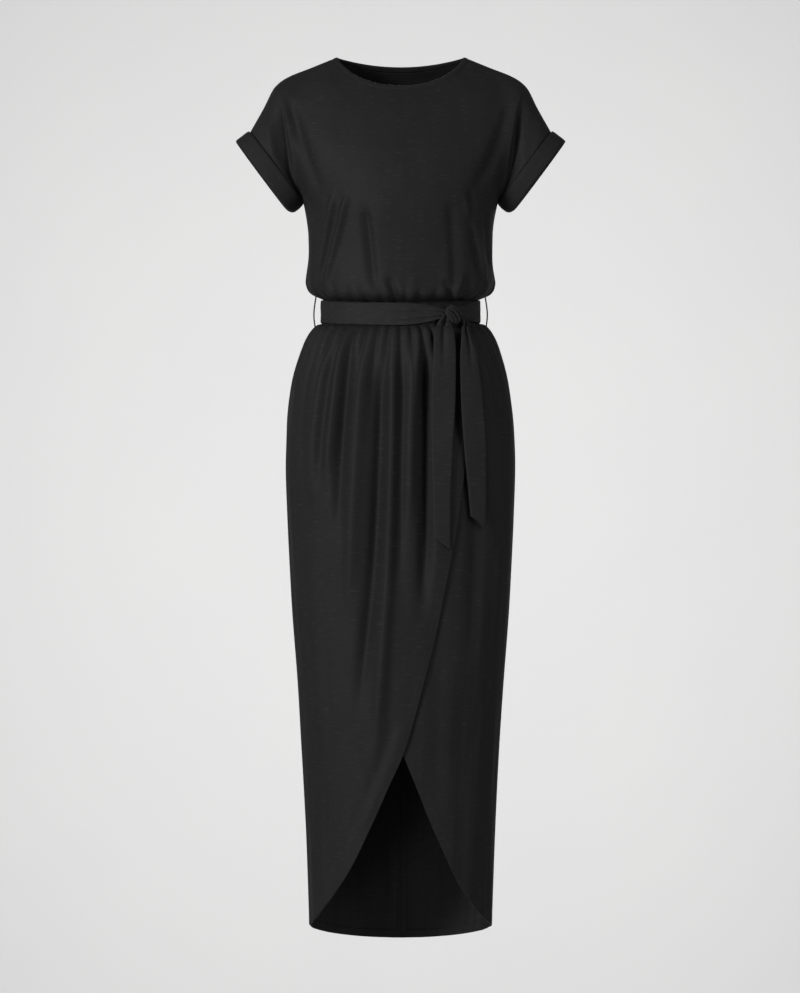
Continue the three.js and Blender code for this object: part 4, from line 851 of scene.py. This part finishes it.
SKIRT_FRONT_FOLDS = [
    (-78, -416, -89, -483, -115, -670, 10, 9), (-70, -416, -80, -483, -94, -760, 8, -7),
    (-56, -416, -66, -585, -79, -880, 10, 10), (-14, -416, -14, -620, -45, -1130, 9, 11),
    (-29, -440, -33, -628, -72, -1050, 9, -11), (24, -420, 18, -512, 13, -760, 8, 9),
    (35, -414, 41, -560, 29, -900, 9, -14), (60, -430, 64, -570, 58, -760, 12, 4),
    (120, -440, 134, -560, 138, -760, 14, 5), (96, -440, 116, -640, 104, -960, 14, -4),
    (2, -424, 1, -560, -6, -860, 7, -5),
    (-108, -440, -124, -520, -136, -700, 10, 5), (-98, -430, -112, -520, -124, -680, 8, -4),
    (84, -400, 84, -450, 87, -620, 6.5, -10), (6, -1010, -24, -1100, -78, -1215, 9, 2.2),
    (-8, -1010, -38, -1100, -92, -1215, 8, -1.8),
]
SKIRT_BACK_FOLDS = [
    (-104, -430, -128, -560, -134, -820, 14, 4), (-78, -430, -100, -600, -108, -900, 12, -4),
    (-52, -430, -64, -640, -60, -1050, 14, 5), (-28, -430, -33, -560, -30, -800, 10, -4),
    (24, -430, 33, -600, 40, -920, 13, 4.5), (50, -430, 66, -620, 74, -1000, 12, -4.5),
    (80, -430, 98, -580, 100, -780, 12, 4), (106, -430, 130, -620, 132, -980, 14, 4),
]
SKIRT_BACK_GATHERS = uneven_gathers(16, 5, 66)
SKIRT_BACK_GATHERS[7, 0] = 0
OVER_LAST_GATHER, UNDER_FIRST_GATHER = 17, 4
TUCK_GAP = 2.4
GATHER_STEPS, STEEPEST = 14, 7
HEM_WIDTH = 12
HEM_DOUBLING, HEM_STAND, HEM_SOFTNESS = 0.9, 0.12, 0.6
SEAM_ALLOWANCE, PUCKER_WIDTH = (7, 8), 1.6

# Radii that turn angles into lengths: round the skirt, at a side seam and at the centre back
SKIRT_RADIUS, SIDE_RADIUS, CENTRE_BACK_RADIUS = 145, 120, 110

# Small waves of the cloth: typical length across and down, and height
SKIRT_RIPPLES = [(64, 420, 0.9), (30, 190, 0.25)]

# How far the rows of points close to a hem lie from it
HEM_DISTANCES = np.array([14.5, 12.8, 12.2, 11.7, 11.3, 11.0, 10.6, 9.5, 6.5, 3, 1.2, 0.4, 0])

skirt_sections = section_curves(SKIRT_SECTIONS)
over_edge_x = table_curve(WRAP_EDGE, 1)
under_edge_x = table_curve(UNDER_EDGE, 1)


def edge_height(edge_x, angle, hand):
    """Height at which a free edge crosses the line of each angle, by halving. The hand is -1
    for an edge that runs down to the left hem corner and 1 for one to the right."""
    low = np.full(angle.shape, float(SIDE_HEM))
    high = np.full(angle.shape, float(WAIST_HEIGHT))
    for _ in range(40):
        z = (low + high) / 2
        edge = np.arcsin(np.clip(edge_x(z) / skirt_sections["width"](z), -1, 1))
        beyond = (edge - angle) * hand > 0
        low, high = np.where(beyond, z, low), np.where(beyond, high, z)
    return (low + high) / 2


def skirt_points(angle, z, side):
    """The smooth skirt at angles from the centre front or back: an ellipse in each level
    section, with the waist line dipping in front."""
    depth = skirt_sections[side](z) * np.cos(angle)
    x = skirt_sections["width"](z) * np.sin(angle)
    return np.stack([x, SIDE_OF[side] * depth, z - waist_dip(angle, z, side)], axis=-1)


def skirt_gather_lift(gathers, angle, z):
    """Lift of the gathers below the belt: low under it, full just below, fading downwards."""
    height, fade, crest = gather_at(gathers, angle)
    drop = WAIST_HEIGHT - GATHERS_BELOW - z
    full = height * np.exp(-(np.maximum(0, drop) / (SKIRT_FADE * fade)) ** 2)
    return crest * mix(UNDER_BELT_LIFT, full, smoothstep(drop, -4.5, 3))


def under_tuck(angle, z):
    """How far the panel underneath lies inside the one on top. It comes back out to the side
    seam on the right, where nothing covers it."""
    full = CLOTH + mix(SEAM_GAP, TUCK_GAP, smoothstep(WAIST_HEIGHT - z, 16, 27))
    start = np.arcsin(np.clip(over_edge_x(z) / skirt_sections["width"](z), -1, 1)) + math.radians(6)
    share = (angle - start) / (math.pi / 2 - start)
    return full * (1 - smoothstep(share, 0.1, 1))


def skirt_drops(length, steepness):
    """Depth below the waist of every row of every column: close rows in the flare under the
    belt, even rows down the panel, and rows at set distances from the hem."""
    flare = np.minimum(70, 0.4 * length)
    hem = np.minimum(HEM_DISTANCES[0] * steepness, 0.3 * length)
    upper = np.linspace(0, 1, 27)[:-1, None] * flare
    middle = mix(flare, length - hem, np.linspace(0, 1, 66)[:-1, None])
    lower = length - hem * (HEM_DISTANCES / HEM_DISTANCES[0])[:, None]
    return np.concatenate([upper, middle, lower])


def skirt_panel(name, side, gathers, folds, first, last, bottom, seed, tucked=False):
    """A skirt panel between two places counted in gathers, hanging from the waist to its
    lower edge, given as a height for each angle. Near the edge the cloth is doubled by the
    hem, which also holds it a little proud."""
    place = np.linspace(first, last, (last - first) * GATHER_STEPS + 1)
    angles = gather_angle(gathers, place)
    low = bottom(angles)
    top = WAIST_HEIGHT - SEAM_GAP / 2
    edge_points = skirt_points(angles, low, side)
    across = np.hypot(np.gradient(edge_points[:, 0]), np.gradient(edge_points[:, 1]))
    slope = np.gradient(edge_points[:, 2]) / np.maximum(across, 1e-6)
    steepness = np.minimum(np.sqrt(1 + slope ** 2), STEEPEST)
    z = top - skirt_drops(top - low, steepness)
    angle = np.broadcast_to(angles, z.shape)
    points = skirt_points(angle, z, side)
    normals = outward(grid_normals(points), points)
    at_side = (np.abs(np.degrees(angle)) > 89.99)[..., None] * np.array([False, True, False])
    at_centre = (np.abs(angle) < 1e-6)[..., None] * np.array([side == "back", False, False])
    normals = np.where(at_side | at_centre, 0, normals)
    normals[0, :, 2] = 0
    normals = unit(normals)
    from_hem = (z - low) / steepness
    lift = skirt_gather_lift(gathers, angle, z) + fold_lift(folds, angle, z, skirt_sections, side)
    around = angle * SKIRT_RADIUS
    free = smoothstep(top - z, 22, 60) * smoothstep(90 - np.abs(np.degrees(angle)), 0, 8)
    for number, ripple in enumerate(SKIRT_RIPPLES):
        lift += free * soft_ripple(around, z, seed + number, *ripple)
    doubled = smoothstep(HEM_WIDTH - from_hem, -HEM_SOFTNESS, HEM_SOFTNESS)
    lift += HEM_STAND * doubled
    seam_distance = (math.pi / 2 - np.abs(angle)) * SIDE_RADIUS
    if side == "back":
        seam_distance = np.minimum(seam_distance, np.abs(angle) * CENTRE_BACK_RADIUS)
    lift -= SEAM_PUCKER * np.exp(-(seam_distance / PUCKER_WIDTH) ** 2)
    if tucked:
        lift -= under_tuck(angle, z)
    allowance = 1 - smoothstep(seam_distance, *SEAM_ALLOWANCE)
    thickness = CLOTH + HEM_DOUBLING * np.maximum(doubled, allowance) * smoothstep(top - z, 24, 40)
    uv = np.stack([around, points[..., 2]], axis=-1)
    return cloth_wall(name, points, normals, lift, thickness, uv,
                      from_hem * MM, run_along(edge_points) * MM)


def over_bottom(angle):
    """The free edge of the front panel on top."""
    return edge_height(over_edge_x, angle, -1)


def under_bottom(angle):
    """The free edge of the front panel underneath."""
    return edge_height(under_edge_x, angle, 1)


def back_bottom(angle):
    """The back hem, which hangs lower towards its centre as a cosine."""
    return SIDE_HEM - BACK_HEM_DROP * np.cos(angle)


skirt_over = skirt_panel("jersey_skirt_over", "front", SKIRT_FRONT_GATHERS, SKIRT_FRONT_FOLDS,
                         0, OVER_LAST_GATHER, over_bottom, 41)
sew_on(skirt_over, jersey, "skirt_front_over")
skirt_under = skirt_panel("jersey_skirt_under", "front", SKIRT_FRONT_GATHERS, SKIRT_FRONT_FOLDS,
                          UNDER_FIRST_GATHER, len(SKIRT_FRONT_GATHERS), under_bottom, 41, True)
sew_on(skirt_under, jersey, "skirt_front_under")
back_left = skirt_panel("jersey_skirt_back_left", "back", SKIRT_BACK_GATHERS, SKIRT_BACK_FOLDS,
                        0, 8, back_bottom, 53)
sew_on(back_left, jersey, "skirt_back_left")
back_right = skirt_panel("jersey_skirt_back_right", "back", SKIRT_BACK_GATHERS, SKIRT_BACK_FOLDS,
                         8, 16, back_bottom, 53)
sew_on(back_right, jersey, "skirt_back_right")


# Tie belt: one long strip of the same jersey, folded lengthwise and sewn. It lies flat round
# the waist, narrows and creases where it is pulled into the knot, and hangs in two tails.
# Along its length it measures about 1.8 mm for each degree round the waist.
BELT_CLEARANCE, BELT_CLOTH = 2.6, 2.4

# angle, top and bottom of the belt, from the right side of the knot round the back to its left
BELT_EDGES = [
    (40.6, -391, -407), (49.3, -387.5, -408), (60, -382.5, -410.5), (75, -377.5, -411.5),
    (90, -376.2, -411),
    (180, -376.2, -411), (270, -376.2, -411), (315, -382.4, -416.6), (360, -384.8, -419),
    (375, -386.5, -416), (385, -390.5, -411), (388.3, -392, -409), (397, -394, -408),
]
BELT_STEPS = 260
BELT_DEGREE = 1.8
BELT_RIPPLE = (46, 30, 0.32)

# Degrees from the belt's two ends over which its creases, and its rise into the knot, fade
CREASE_HEIGHT, CREASE_FADE_LEFT, CREASE_FADE_RIGHT = 1.4, (14, 68), (12, 36)
KNOT_RISE, RISE_FADE_LEFT, RISE_FADE_RIGHT = 5, (5, 22), (5, 18)

# Share of the belt's height from its top, how far out, and whether on its inner side
BELT_SECTION = [
    (0.0, 0.0), (0.0, 0.6), (0.03, 0.92), (0.08, 1.0), (0.16, 1.0), (0.24, 1.0), (0.32, 1.0),
    (0.4, 1.0), (0.48, 1.0), (0.56, 1.0), (0.64, 1.0), (0.72, 1.0), (0.8, 1.0), (0.88, 1.0),
    (0.94, 1.0), (0.98, 0.9), (1.0, 0.6), (1.0, 0.0), (0.75, 0.0), (0.5, 0.0), (0.25, 0.0),
]


def waist_points(degrees, z):
    """Points and outward normals of the waist's own ellipse, at angles from the centre front
    towards the right side seam."""
    angle = np.radians(degrees)
    front, back = skirt_sections["front"](WAIST_HEIGHT), skirt_sections["back"](WAIST_HEIGHT)
    depth = np.where(np.cos(angle) > 0, front, back)
    width = skirt_sections["width"](WAIST_HEIGHT)
    level = np.broadcast_to(z, angle.shape)
    points = np.stack([width * np.sin(angle), -depth * np.cos(angle), level], axis=-1)
    normals = np.stack([np.sin(angle) / width, -np.cos(angle) / depth, 0 * angle], axis=-1)
    return points, unit(normals)


def belt_strip():
    """The belt round the waist. Creases run along it near the knot, as cosines across its
    height that fade out over some forty degrees."""
    section = np.array(BELT_SECTION)
    degrees = np.linspace(BELT_EDGES[0][0], BELT_EDGES[-1][0], BELT_STEPS)[:, None]
    top = table_curve(BELT_EDGES, 1)(degrees)
    bottom = table_curve(BELT_EDGES, 2)(degrees)
    share, outside = section[:, 0], section[:, 1]
    z = mix(top, bottom, share)
    points, normals = waist_points(np.broadcast_to(degrees, z.shape), z)
    from_left, from_right = BELT_EDGES[-1][0] - degrees, degrees - BELT_EDGES[0][0]
    near_left = 1 - smoothstep(from_left, *CREASE_FADE_LEFT)
    near_right = 1 - smoothstep(from_right, *CREASE_FADE_RIGHT)
    into_knot = 1 - smoothstep(from_left, *RISE_FADE_LEFT)
    into_knot = into_knot + 0.8 * (1 - smoothstep(from_right, *RISE_FADE_RIGHT))
    crease = near_left * np.cos(2 * math.pi * (share * 2.6 + 0.12 + 0.25 * near_left))
    crease = crease + near_right * np.cos(2 * math.pi * (share * 2.2 + 0.4))
    wave = soft_ripple(degrees * BELT_DEGREE, z, 61, *BELT_RIPPLE)
    relief = np.where(outside < 0.01, 0, CREASE_HEIGHT * crease + wave)
    height = BELT_CLEARANCE + BELT_CLOTH * outside + relief + KNOT_RISE * into_knot
    return sweep("jersey_belt", points + normals * height[..., None])


BELT_TONE = 0.0142
belt_jersey = jersey_finish("belt_jersey", BELT_TONE, BAND_ROUGHNESS)
sew_on(belt_strip(), belt_jersey, "belt")

KNOT_ANGLE, KNOT_HEIGHT = 38.8, -402
KNOT_HALF_LENGTH, KNOT_HALF_BREADTH, KNOT_HALF_DEPTH = 15.5, 12, 6.2
KNOT_SLANT = math.radians(48)
TAIL_CLOTH, TAIL_CLEARANCE = 2, 1.8
KNOT_RINGS, KNOT_ROUND = 72, 96
KNOT_BEND = 0.35
KNOT_PLAN_POWER, KNOT_RING_POWER, KNOT_OUT_POWER = 0.85, 0.7, 0.6
KNOT_CREASE, KNOT_CREASES, KNOT_CREASE_SLANT = 0.35, 17, 1.5

# Place across the knot, half width and depth of each groove between its strands
KNOT_GROOVES = [(0.0, 0.09, 3.2), (0.5, 0.08, 2.6), (0.86, 0.07, 1.4), (-0.5, 0.1, 1.4)]


def signed_power(value, exponent):
    """A power that keeps the value's sign."""
    return np.sign(value) * np.abs(value) ** exponent


def belt_knot():
    """A soft lump flattened against the waist: a superellipsoid whose long axis slants down
    to the right. The strands wrapped over it part in curved grooves along that axis."""
    point, normal = waist_points(np.array(KNOT_ANGLE), np.array(KNOT_HEIGHT))
    sideways, upright = np.array([-normal[1], normal[0], 0]), np.array([0, 0, 1])
    long_axis = sideways * math.cos(KNOT_SLANT) - upright * math.sin(KNOT_SLANT)
    short_axis = sideways * math.sin(KNOT_SLANT) + upright * math.cos(KNOT_SLANT)
    over_tails = UNDER_BELT_LIFT + TAIL_CLEARANCE + TAIL_CLOTH + SEAM_GAP
    centre = point + normal * (over_tails + KNOT_HALF_DEPTH)
    latitude = np.linspace(-math.pi / 2, math.pi / 2, KNOT_RINGS)[:, None]
    longitude = np.linspace(0, 2 * math.pi, KNOT_ROUND, endpoint=False)
    ring = np.cos(latitude)
    drawn_in = signed_power(ring, KNOT_RING_POWER)
    along = signed_power(np.cos(longitude), KNOT_PLAN_POWER) * drawn_in
    across = signed_power(np.sin(longitude), KNOT_PLAN_POWER) * drawn_in
    out = signed_power(np.sin(latitude), KNOT_OUT_POWER) * np.ones_like(across)
    strand = across + KNOT_BEND * along ** 2
    relief = KNOT_CREASE * np.cos(KNOT_CREASES * strand + KNOT_CREASE_SLANT * along)
    for place, breadth, depth in KNOT_GROOVES:
        relief = relief - depth * np.exp(-((strand - place) / breadth) ** 2)
    sections = centre + long_axis * (along * KNOT_HALF_LENGTH)[..., None]
    sections = sections + short_axis * (across * KNOT_HALF_BREADTH)[..., None]
    relief = relief * np.maximum(out, 0)
    sections = sections + normal * (out * KNOT_HALF_DEPTH + relief)[..., None]
    return sweep("jersey_belt_knot", sections[1:-1])


sew_on(belt_knot(), belt_jersey, "belt_knot")

# z, left and right edge of each tail
TAIL_FRONT_EDGES = [
    (-399, 64.5, 68.5), (-404.5, 59.3, 70), (-414.3, 53.4, 73), (-424.2, 50.1, 75.7),
    (-437.3, 48.1, 78.3), (-457, 47.5, 80), (-530, 45, 80.5),
    (-610, 46, 77), (-693, 48, 74), (-760, 51, 75),
]
TAIL_SIDE_EDGES = [
    (-405, 87, 93), (-411.5, 87.5, 94.5), (-424, 88, 97.5), (-437, 88, 102), (-465, 87.5, 112),
    (-530, 89.5, 121.5), (-612, 95, 127), (-665, 101, 127.5), (-728, 108, 128),
]
TAIL_ROWS, TAIL_COLUMNS = 150, 36
TAIL_CREASE, TAIL_CREASE_LENGTH, TAIL_CREASE_WIDTH = 6.5, 0.17, 0.13
TAIL_EDGE_FALL, TAIL_EDGE_WIDTH = 0.9, 1.1
TAIL_RIPPLE = (60, 140, 0.5)
OVER_BELT, OVER_BELT_UNTIL = 5.5, (-409, -419)


def front_angle(x, z):
    """The angle at which the front skirt passes through a place seen from the front."""
    angle = np.arcsin(np.clip(x / skirt_sections["width"](z), -1, 1))
    for _ in range(8):
        level = z + waist_dip(angle, z, "front")
        angle = np.arcsin(np.clip(x / skirt_sections["width"](level), -1, 1))
    return angle


def crest_across(left, right, z):
    """Greatest lift of the front skirt under a strip's width, at each height."""
    crest = np.zeros(z.shape)
    for share in np.linspace(-0.12, 1.12, 11):
        angle = front_angle(mix(left, right, share), z)
        for step in (-6, -3, 0, 3, 6):
            level = z + waist_dip(angle, z, "front") + step
            lift = skirt_gather_lift(SKIRT_FRONT_GATHERS, angle, level)
            lift = lift + fold_lift(SKIRT_FRONT_FOLDS, angle, level, skirt_sections, "front")
            crest = np.maximum(crest, lift)
    return crest


def belt_tail(name, edges, slant, seed, fold_place):
    """A belt tail: a folded strip that comes over the belt's lower edge, lies over the crests
    of the skirt's folds and ends on a slant. A deep crease runs down from the knot."""
    left, right = table_curve(edges, 1), table_curve(edges, 2)
    top, length = edges[0][0], edges[0][0] - edges[-1][0]
    share = (np.linspace(0, 1, TAIL_ROWS) ** 1.25)[:, None]
    across = np.linspace(0, 1, TAIL_COLUMNS)
    middle_z = top - share * length
    z = middle_z + share * slant * (1 - across)
    angle = front_angle(mix(left(z), right(z), across), z)
    level = z + waist_dip(angle, z, "front")
    points = skirt_points(angle, level, "front")
    normals = outward(grid_normals(points), points)
    normals[..., 2] = 0
    normals = unit(normals)
    crest = crest_across(left(middle_z), right(middle_z), middle_z)
    lift = crest + TAIL_CLEARANCE + TAIL_CLOTH
    lift = lift + OVER_BELT * (1 - smoothstep(-z, *[-height for height in OVER_BELT_UNTIL]))
    from_edge = np.minimum(across, 1 - across) * (right(z) - left(z))
    lift = lift - TAIL_EDGE_FALL * np.exp(-(from_edge / TAIL_EDGE_WIDTH) ** 2)
    line = (across - fold_place) / TAIL_CREASE_WIDTH
    fading = np.exp(-(share / TAIL_CREASE_LENGTH) ** 2) * smoothstep(share, 0, 0.03)
    lift = lift + TAIL_CREASE * fading * (0.45 - np.exp(-line ** 2))
    uv = np.stack([across * (right(z) - left(z)), z], axis=-1)
    lift = lift + soft_ripple(uv[..., 0], z, seed, *TAIL_RIPPLE)
    return cloth_wall(name, points, normals, lift, TAIL_CLOTH, uv)


tail_front = belt_tail("jersey_belt_tail_front", TAIL_FRONT_EDGES, 18, 71, 0.46)
sew_on(tail_front, belt_jersey, "belt_tail_front")
tail_side = belt_tail("jersey_belt_tail_side", TAIL_SIDE_EDGES, 19, 73, 0.6)
sew_on(tail_side, belt_jersey, "belt_tail_side")


# Belt loops: a thin cord of twisted sewing thread at each side seam, anchored above and below
# the belt, that stands off it in a bow.
LOOP_THREAD, LOOP_STAND = 2.1, 10.2
LOOP_STEPS, LOOP_ROUND = 90, 16
LOOP_TWIST_PITCH = 3.4


def thread_loop(name, hand):
    """Two plies twisted together along a bow: the section's radius swells twice on its way
    round and turns steadily along the cord."""
    outer = skirt_sections["width"](WAIST_HEIGHT) + BELT_CLEARANCE + BELT_CLOTH + LOOP_STAND
    knots = np.array([
        (bodice_sections["width"](-368) + 1.5, -368), (outer - 2.2, -376), (outer, -393),
        (outer - 0.4, -408), (skirt_sections["width"](-420) + 1.5, -420),
    ])
    place = np.linspace(0, 1, len(knots))
    share = np.linspace(0, 1, LOOP_STEPS)
    terms = np.polynomial.polynomial.polyfit(place, knots, 4)
    path = np.polynomial.polynomial.polyval(share, terms).T
    ahead = unit(np.gradient(path, axis=0))
    turn = np.linspace(0, 2 * math.pi, LOOP_ROUND, endpoint=False)
    twist = 2 * math.pi * run_along(path)[:, None] / LOOP_TWIST_PITCH
    radius = LOOP_THREAD / 2 * (1.02 + 0.18 * np.cos(2 * turn - twist))
    x = path[:, :1] + radius * np.cos(turn) * ahead[:, 1:]
    z = path[:, 1:] - radius * np.cos(turn) * ahead[:, :1]
    return sweep(name, np.stack([hand * x, radius * np.sin(turn), z], axis=-1))


def thread_finish():
    """Sewing thread: near black with fine paler fibres all through it."""
    finish = Finish("loop_thread", Roughness=0.75, Specular_IOR_Level=0.3)
    place = finish.node("ShaderNodeTexCoord", output=3)
    fibre = finish.node("ShaderNodeTexNoise", Vector=place, Scale=1400.0, Detail=2.0)
    shade = fibre * 0.016 + 0.007
    tint = finish.node("ShaderNodeCombineColor", Red=shade, Green=shade, Blue=shade)
    finish.put(finish.shader.inputs["Base Color"], tint)
    bump = finish.node("ShaderNodeBump", Height=fibre, Strength=0.4, Distance=0.0002)
    finish.put(finish.shader.inputs["Normal"], bump)
    return finish.material


thread = thread_finish()
for side_name, hand in (("left", -1), ("right", 1)):
    sew_on(thread_loop("thread_loop_" + side_name, hand), thread, "belt_loop_" + side_name)
